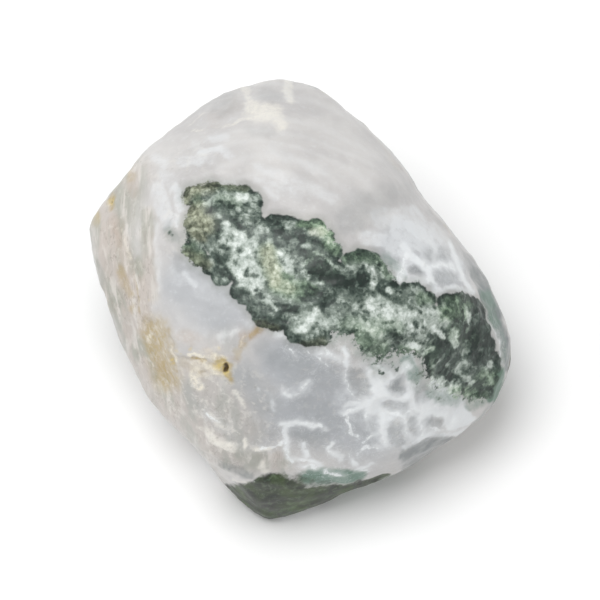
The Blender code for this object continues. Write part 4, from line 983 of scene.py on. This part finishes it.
finish = {
    "clearGrey": seenAs(204, 202, 201),
    "milkWhite": seenAs(217, 215, 213),
    "coolGrey": seenAs(184, 188, 193),
    # grey of the clear windows, also used for painted shade
    "windowAndShadeGrey": seenAs(142, 147, 148),
    "veilWhite": seenAs(238, 241, 243),
    "veinWhite": seenAs(249, 252, 253),
    "creamBand": seenAs(238, 235, 227),
    "rindPink": seenAs(206, 196, 187),
    "rindGreen": seenAs(172, 172, 158),
    "rindWhite": seenAs(232, 226, 218),
    "rindCrack": seenAs(158, 147, 134),
    "fleckWhite": seenAs(240, 237, 230),
    "fleckDark": seenAs(150, 146, 136),
    "ochre": seenAs(184, 160, 96),
    "peach": seenAs(186, 168, 152),
    "cream": seenAs(250, 244, 228),
    "pitBrown": seenAs(84, 66, 10),
    "pitGold": seenAs(230, 207, 130),
    # darkest green under the lip, darker than the stone itself as painted shade
    "oliveGreenAndShade": seenAs(32, 38, 14),
    "softGreen": seenAs(60, 78, 38),
    "paleGreen": seenAs(120, 142, 108),
    "jadeGreen": seenAs(112, 140, 126),
    "mossDark": seenAs(33, 47, 41),
    "mossGrey": seenRamp(
        (33, 47, 41), (69, 84, 76), (120, 133, 123), (172, 183, 174), (206, 215, 208), (236, 243, 238)),
    "mossGreen": seenRamp(
        (34, 49, 40), (64, 84, 68), (108, 131, 107), (153, 175, 150), (194, 210, 188), (226, 236, 222)),
    "mossOlive": seenRamp(
        (50, 54, 40), (86, 91, 71), (128, 131, 108), (170, 174, 148), (204, 208, 184), (230, 234, 216)),
    # soft noise: scale per mm, detail and coarseness, then offset, warp and stretch where it has them
    "clouds": {
        "big": (0.16, 2, 0.5), "middle": (0.55, 3, 0.5, (11, 2, 5)), "fine": (2.2, 3, 0.6, (3, 8, 1)),
        "veil": (1.3, 3, 0.6), "windowAndShade": (0.9, 3, 0.55, (6, 3, 3)),
        "bandTint": (1.0, 3, 0.5, (0, 0, 0), 0.3, (0.55, 0.13, 0.20)),
        "bandWhite": (1.0, 3, 0.5, (5, 1, 2), 0.3, (1.2, 0.22, 0.35)),
        "crack": (1.0, 4, 0.55, (9, 4, 7), 0.5, (1.6, 0.24, 0.40)), "broken": (1.6, 4, 0.65, (7, 7, 7)),
        "crumbly": (2.4, 4, 0.7, (4, 1, 9)), "creamBorder": (1.5, 4, 0.6, (1, 1, 6)),
        "creamBandBorder": (1.5, 4, 0.6, (2, 9, 5)), "jadeBorder": (1.5, 4, 0.6, (3, 5, 8)),
        "fleck": (1.4, 3, 0.6, (5, 5, 1)), "darkFleck": (2.3, 3, 0.65, (8, 3, 6)),
        "green": (0.5, 3, 0.5, (0, 0, 0), 0.5), "greenBorder": (1.3, 4, 0.65, (4, 2, 2)),
        "mottle": (1.5, 4, 0.65, (1, 9, 3), 0.4), "veinWobble": (2.4, 4, 0.6),
        "veinSway": (0.9, 2, 0.5, (9, 1, 4)), "veinBreak": (3.0, 3, 0.65, (5, 0, 6)),
        "thread": (1.5, 3, 0.5, (2, 3, 8), 0.8), "netPush": (0.5, 3, 0.5),
        "netPlace": (0.16, 2, 0.5, (2, 2, 9)), "mossBorder": (1.5, 3, 0.5), "fray": (2.8, 3, 0.65, (6, 6, 1)),
        "grain": (1.1, 3, 0.55, (1, 6, 2)), "fineGrain": (3.2, 2, 0.5, (4, 4, 4)),
        "fibre": (1.25, 3, 0.5, (6, 2, 9), 0.5), "speckle": (2.6, 3, 0.6, (8, 8, 2)),
        "crumb": (1.35, 2, 0.5, (2, 7, 7)), "core": (1.15, 2, 0.5, (7, 1, 4)), "skin": (5.0, 4, 0.6),
    },
    # where a value turns into a mark: low and high, then what it gives there where that isn't 0 and 1
    "turns": {
        "milk": (0.30, 0.68), "frost": (0.52, 0.78), "veil": (0.44, 0.72, 0.45, 1.0),
        "windowAndShade": (0.30, 0.58, 0.6, 1.0), "bandTint": (0.40, 0.60), "bandWhite": (0.50, 0.68),
        "crack": (0.0, 0.028, 1.0, 0.0), "crackPlace": (0.38, 0.6), "broken": (0.34, 0.60, 0.35, 1.0),
        "crumbly": (0.36, 0.60, 0.30, 1.0), "markFoot": (0.0, 0.12), "cream": (0.10, 1.25),
        "creamBand": (0.05, 1.05), "jade": (0.05, 1.10), "fleck": (0.52, 0.68), "darkFleck": (0.57, 0.68),
        "green": (0.35, 0.65), "greenPale": (0.46, 0.74, 0.0, 0.50), "greenDark": (0.42, 0.28, 0.0, 0.30),
        "greenJade": (0.60, 0.74, 0.0, 0.20), "greenBorder": (0.18, 0.78), "vein": (-0.06, 0.14, 0.98, 0.0),
        "veinBreak": (0.38, 0.56, 0.55, 1.0), "veinGlow": (0.0, 0.60, 1.0, 0.0),
        "thread": (0.0, 0.035, 1.0, 0.0), "threadPlace": (0.2, 1.3, 0.35, 0.0), "net": (0.0, 0.20, 1.0, 0.0),
        "netPlace": (0.48, 0.62), "pitGold": (0.0, 0.55, 0.0, 0.95), "goldBreak": (0.35, 0.55, 0.40, 1.0),
        "pitBrown": (0.30, 0.80), "halo": (-0.8, 0.0), "rim": (0.05, 0.65, 1.0, 0.0),
        "pore": (0.12, 0.34, 1.0, 0.0), "fibre": (0.0, 0.05, 1.0, 0.0), "scallop": (0.2, 1.6, 1.0, 0.0),
        "fadedEdge": (0.0, 1.0, 1.0, 0.0), "crumb": (0.53, 0.63), "core": (0.53, 0.64),
    },
    # how strongly each mark covers what lies under it
    "shares": {
        "cool": 0.85, "frost": 0.22, "ripple": 0.10, "bandWhite": 0.85, "crack": 0.75, "rind": 0.85,
        "peach": 0.85, "darkFleck": 0.34, "fleck": 0.46, "net": 0.7, "veins": 0.92, "halo": 0.22,
    },
    # how far noise pushes a mark's border in and out
    "pushes": {
        "middle": 0.5, "cream": 0.9, "creamBand": 0.9, "jade": 0.7, "greenBorder": 1.1, "veinWobble": 0.34,
        "veinSway": 0.55, "netPush": 2.4, "pore": 0.5, "fray": 3.4,
    },
    # a share that follows another value: how much of it, and what is there without it
    "follows": {
        "ochreByBreak": (0.7, 0.3), "bandByCrumbs": (0.5, 0.5), "glowByVeil": (0.6, 0.16),
        "borderByVeil": (0.6, 0.50), "toneBySpeckle": (1.3, 0.36), "rimByFading": (-0.9, 1.0),
        "edgeByFading": (0.40, 0.14),
    },
    "veilHold": 0.30,           # a strong veil breaks up less
    "netCells": 0.38,           # per mm
    "poreCells": 1.7,
    "mossEdgeLow": -0.06,
    "scallops": (6.3, 6.0),     # rings of tone by the rim: by depth inside it, and by grain
    # lightness inside the moss: where it starts, what each detail adds, then a factor for all of it
    "toneStart": 0.02,
    "details": {
        "grain": 0.85, "fineGrain": 0.30, "crumb": 0.22, "core": -0.20, "fibre": 0.07, "pore": -0.12,
        "scallop": 0.06, "rim": -0.10, "faded": 0.26,
    },
    "toneFactor": 0.8,
    # gloss: rubbed skin, duller on moss, veins and rind
    "roughness": 0.32,
    "dullness": {"middle": 0.16, "moss": 0.08, "veins": 0.10, "rind": 0.12},
    "refraction": 1.54,
    "glow": 0.4,                # share of light that goes through the skin
    "glowReach": 0.0018,
    "glowTint": (1.0, 0.96, 0.92),
    "skinDepth": 0.06 * mm,
    "skinStrength": 0.5,
    "skinShares": (0.5, 1.2),   # of fine noise all over, and of grain on the moss
}


def makeFinish():
    material = bpy.data.materials.new("mossAgate")
    material.use_nodes = True
    nodes, links = material.node_tree.nodes, material.node_tree.links
    shader = nodes["Principled BSDF"]
    shares, pushes, follows = finish["shares"], finish["pushes"], finish["follows"]

    def put(kind, **values):
        node = nodes.new(kind)
        for key, value in values.items():
            setattr(node, key, value)
        return node

    def join(source, socket):
        if isinstance(source, (int, float)):
            socket.default_value = source
        elif isinstance(source, tuple):
            socket.default_value = (*source, 1.0) if len(socket.default_value) == 4 else source
        else:
            links.new(source, socket)

    def calc(operation, *sources):
        node = put("ShaderNodeMath", operation=operation)
        for source, socket in zip(sources, node.inputs):
            join(source, socket)
        return node.outputs[0]

    def times(*factors):
        product = factors[0]
        for factor in factors[1:]:
            product = calc("MULTIPLY", product, factor)
        return product

    def follow(value, name):
        return calc("MULTIPLY_ADD", value, *follows[name])

    def field(name):
        return put("ShaderNodeAttribute", attribute_name=name).outputs["Fac"]

    def step(value, low, high, toLow=0.0, toHigh=1.0):
        node = put("ShaderNodeMapRange", interpolation_type="SMOOTHSTEP")
        for source, socket in zip((value, low, high, toLow, toHigh), node.inputs):
            join(source, socket)
        return node.outputs[0]

    def turned(value, name):
        return step(value, *finish["turns"][name])

    def mix(share, a, b):
        node = put("ShaderNodeMix", data_type="RGBA")
        for source, socket in ((share, node.inputs["Factor"]), (a, node.inputs[6]), (b, node.inputs[7])):
            join(source, socket)
        return node.outputs[2]

    def ramp(value, stops):
        node = put("ShaderNodeValToRGB")
        elements = node.color_ramp.elements
        elements[0].position, elements[0].color = stops[0][0], (*stops[0][1], 1)
        elements[1].position, elements[1].color = stops[-1][0], (*stops[-1][1], 1)
        for position, shade in stops[1:-1]:
            elements.new(position).color = (*shade, 1)
        links.new(value, node.inputs["Fac"])
        return node.outputs["Color"]

    def scaled(vector, amount):
        node = put("ShaderNodeVectorMath", operation="SCALE")
        links.new(vector, node.inputs[0])
        node.inputs["Scale"].default_value = amount
        return node.outputs[0]

    inMillimetres = scaled(put("ShaderNodeTexCoord").outputs["Object"], 1 / mm)
    noises = {}

    def softNoise(scale, detail, coarse, offset=(0, 0, 0), warp=0.0, stretch=(1, 1, 1)):
        mapping = put("ShaderNodeMapping")
        links.new(inMillimetres, mapping.inputs["Vector"])
        mapping.inputs["Scale"].default_value = stretch
        mapping.inputs["Location"].default_value = offset
        node = put("ShaderNodeTexNoise")
        links.new(mapping.outputs[0], node.inputs["Vector"])
        values = {"Scale": scale, "Detail": detail, "Roughness": coarse, "Distortion": warp}
        for key, value in values.items():
            node.inputs[key].default_value = value
        return node

    def cloud(name, output="Fac"):      # made where it is first called for
        if name not in noises:
            noises[name] = softNoise(*finish["clouds"][name])
        return noises[name].outputs[output]

    def swing(name):        # to either side of nought
        return calc("SUBTRACT", cloud(name), 0.5)

    def line(name):         # thin winding lines where the noise crosses its middle
        return turned(calc("ABSOLUTE", swing(name)), name)

    def cells(feature, scale, vector):
        node = put("ShaderNodeTexVoronoi", feature=feature)
        links.new(vector, node.inputs["Vector"])
        node.inputs["Scale"].default_value = scale
        return node.outputs["Distance"]

    def brokenUp(name):
        # a mark whose border noise pushes in and out
        pushed = calc("ADD", field(name), times(swing(name + "Border"), pushes[name]))
        return times(turned(pushed, name), turned(field(name), "markFoot"))

    # rind: soft bands down the flank
    rindColour = mix(turned(cloud("bandTint"), "bandTint"), finish["rindGreen"], finish["rindPink"])
    bandShare = times(turned(cloud("bandWhite"), "bandWhite"), shares["bandWhite"])
    rindColour = mix(bandShare, rindColour, finish["rindWhite"])
    crackShare = times(line("crack"), turned(cloud("middle"), "crackPlace"), shares["crack"])
    rindColour = mix(crackShare, rindColour, finish["rindCrack"])

    # green under the lip, its darkness partly painted shade
    greenAndShadeColour = mix(turned(cloud("green"), "green"), finish["oliveGreenAndShade"], finish["softGreen"])
    greenAndShadeColour = mix(turned(cloud("mottle"), "greenPale"), greenAndShadeColour, finish["paleGreen"])
    greenAndShadeColour = mix(turned(cloud("mottle"), "greenDark"), greenAndShadeColour, finish["mossDark"])
    greenAndShadeColour = mix(turned(cloud("fine"), "greenJade"), greenAndShadeColour, finish["jadeGreen"])
    greenAndShadeEdge = calc("ADD", field("green"), times(swing("greenBorder"), pushes["greenBorder"]))

    # white veins with frosty threads: the drawn ones in front, a net on the hidden sides
    sway = times(swing("veinSway"), pushes["veinSway"])
    veinWobble = calc("ADD", times(swing("veinWobble"), pushes["veinWobble"]), sway)
    veinPlace = calc("ADD", field("veinEdge"), veinWobble)
    vein = times(turned(veinPlace, "vein"), turned(cloud("veinBreak"), "veinBreak"))
    veinGlow = times(turned(veinPlace, "veinGlow"), follow(field("veil"), "glowByVeil"))
    thread = times(line("thread"), turned(field("veinEdge"), "threadPlace"))
    warped = put("ShaderNodeVectorMath", operation="ADD")
    links.new(inMillimetres, warped.inputs[0])
    links.new(scaled(cloud("netPush", "Color"), pushes["netPush"]), warped.inputs[1])
    net = turned(cells("DISTANCE_TO_EDGE", finish["netCells"], warped.outputs[0]), "net")
    net = times(net, turned(cloud("netPlace"), "netPlace"), field("hiddenSide"), shares["net"])
    veinShare = calc("MAXIMUM", calc("MAXIMUM", vein, veinGlow), calc("MAXIMUM", thread, net))

    # moss: scalloped rim, spongy inside
    faded = field("faded")
    borderPush = times(swing("mossBorder"), follow(field("veil"), "borderByVeil"))
    edge = calc("ADD", field("mossEdge"), borderPush)
    frayed = calc("ADD", edge, times(swing("fray"), faded, pushes["fray"]))
    inside = step(frayed, finish["mossEdgeLow"], follow(faded, "edgeByFading"))
    haloColour = mix(faded, finish["softGreen"], finish["jadeGreen"])
    poreEdge = cells("F1", finish["poreCells"], inMillimetres)
    byDepth, byGrain = finish["scallops"]
    scallop = calc("SINE", calc("MULTIPLY_ADD", edge, byDepth, times(cloud("grain"), byGrain)))
    details = {
        "grain": swing("grain"),
        "fineGrain": swing("fineGrain"),
        "crumb": turned(cloud("crumb"), "crumb"),
        "core": turned(cloud("core"), "core"),
        "fibre": line("fibre"),
        "pore": turned(calc("ADD", poreEdge, times(swing("fine"), pushes["pore"])), "pore"),
        "scallop": times(scallop, turned(edge, "scallop")),
        "rim": times(turned(edge, "rim"), follow(faded, "rimByFading")),
        "faded": times(faded, turned(edge, "fadedEdge")),
    }
    tone = times(field("mossTone"), follow(cloud("speckle"), "toneBySpeckle"))
    tone = calc("ADD", tone, finish["toneStart"])
    for name, amount in finish["details"].items():
        tone = calc("MULTIPLY_ADD", details[name], amount, tone)
    tone = times(tone, finish["toneFactor"])
    mossColour = ramp(tone, finish["mossGrey"])
    for name in ("mossGreen", "mossOlive"):
        mossColour = mix(field(name), mossColour, ramp(tone, finish[name]))

    # the marks are laid over each other: shade, then what it shows by
    milkShare = calc("ADD", cloud("big"), times(swing("middle"), pushes["middle"]))
    colour = mix(turned(milkShare, "milk"), finish["clearGrey"], finish["milkWhite"])
    veilBreak = calc("MULTIPLY_ADD", field("veil"), finish["veilHold"], cloud("veil"))
    broken = turned(cloud("broken"), "broken")
    crumbly = turned(cloud("crumbly"), "crumbly")
    pit = field("pit")
    layers = (
        ("coolGrey", field("cool"), shares["cool"]),
        ("veilWhite", turned(cloud("fine"), "frost"), shares["frost"]),
        ("veinWhite", calc("MAXIMUM", times(field("ripple"), shares["ripple"]), 0.0)),
        ("veilWhite", field("veil"), turned(veilBreak, "veil")),
        # clear windows, and painted shade in the recess under the lip, on the lower right and along the upper
        # outline
        ("windowAndShadeGrey", field("windowAndShade"), turned(cloud("windowAndShade"), "windowAndShade")),
        (rindColour, field("rind"), shares["rind"]),
        ("peach", field("peach"), broken, shares["peach"]),
        ("ochre", field("ochre"), follow(broken, "ochreByBreak")),
        ("cream", brokenUp("cream"), crumbly),
        ("creamBand", brokenUp("creamBand"), follow(crumbly, "bandByCrumbs")),
        ("jadeGreen", brokenUp("jade")),
        ("fleckDark", field("flecked"), turned(cloud("darkFleck"), "darkFleck"), shares["darkFleck"]),
        ("fleckWhite", field("flecked"), turned(cloud("fleck"), "fleck"), shares["fleck"]),
        # green under the lip, partly painted shade
        (greenAndShadeColour, turned(greenAndShadeEdge, "greenBorder")),
        ("veinWhite", veinShare, shares["veins"]),
        ("pitGold", turned(pit, "pitGold"), turned(cloud("fine"), "goldBreak")),
        ("pitBrown", turned(pit, "pitBrown")),
        (haloColour, turned(edge, "halo"), shares["halo"]),
        (mossColour, inside),
    )
    for shade, *factors in layers:
        colour = mix(times(*factors), colour, finish[shade] if isinstance(shade, str) else shade)
    links.new(colour, shader.inputs["Base Color"])

    # gloss and a fine skin
    dullness = finish["dullness"]
    gloss = calc("MULTIPLY_ADD", cloud("middle"), dullness["middle"], finish["roughness"])
    for name, mark in (("moss", inside), ("veins", veinShare), ("rind", field("rind"))):
        gloss = calc("MULTIPLY_ADD", mark, dullness[name], gloss)
    links.new(gloss, shader.inputs["Roughness"])
    shader.inputs["IOR"].default_value = finish["refraction"]
    shader.inputs["Subsurface Weight"].default_value = finish["glow"]
    shader.inputs["Subsurface Radius"].default_value = finish["glowTint"]
    shader.inputs["Subsurface Scale"].default_value = finish["glowReach"]
    overall, onMoss = finish["skinShares"]
    skin = calc("MULTIPLY_ADD", cloud("skin"), overall, times(cloud("grain"), inside, onMoss))
    bump = put("ShaderNodeBump")
    bump.inputs["Strength"].default_value = finish["skinStrength"]
    bump.inputs["Distance"].default_value = finish["skinDepth"]
    links.new(skin, bump.inputs["Height"])
    links.new(bump.outputs["Normal"], shader.inputs["Normal"])
    return material


agate.data.materials.clear()
agate.data.materials.append(makeFinish())
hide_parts("moss_agate")
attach(agate, "root")
print("finish laid on")


# floor, light and camera

studio = {
    "floorSize": 1.6,
    "floorWhite": (0.93, 0.93, 0.93),
    "floorRoughness": 0.9,
    # each light: place, size, power
    "lights": {
        "keyLight": ((-0.12, 0.03, 0.62), 0.45, 2.48),
        "leftLight": ((-0.55, -0.15, 0.40), 0.50, 0.32),
    },
    "skyStrength": 0.625,
}

deselectAll()
bpy.ops.mesh.primitive_plane_add(size=studio["floorSize"])
floor = bpy.context.object
floor.name = "floor"
paper = bpy.data.materials.new("paper")
paper.use_nodes = True
paperShader = paper.node_tree.nodes["Principled BSDF"]
paperShader.inputs["Base Color"].default_value = (*studio["floorWhite"], 1)
paperShader.inputs["Roughness"].default_value = studio["floorRoughness"]
floor.data.materials.append(paper)

aim = rightWay * middleRight * mm + upWay * middleUp * mm + nearWay * view["aimHeight"]

for name, (place, size, power) in studio["lights"].items():
    bpy.ops.object.light_add(type="AREA", location=place)
    light = bpy.context.object
    light.name = name
    light.data.shape = "DISK"
    light.data.size = size
    light.data.energy = power
    light.rotation_mode = "QUATERNION"
    light.rotation_quaternion = (aim - Vector(place)).to_track_quat("-Z", "Y")

sky = bpy.data.worlds.new("sky")
sky.use_nodes = True
sky.node_tree.nodes["Background"].inputs["Color"].default_value = (1, 1, 1, 1)
sky.node_tree.nodes["Background"].inputs["Strength"].default_value = studio["skyStrength"]
bpy.context.scene.world = sky
bpy.context.scene.view_settings.view_transform = "Standard"

bpy.ops.object.camera_add(location=aim + nearWay * view["distance"])
camera = bpy.context.object
camera.name = "camera"
camera.data.sensor_width = view["sensor"]
camera.data.lens = view["sensor"] * view["distance"] / view["width"]
camera.rotation_mode = "QUATERNION"
camera.rotation_quaternion = (-nearWay).to_track_quat("-Z", "Y")
bpy.context.scene.camera = camera
print("studio ready")
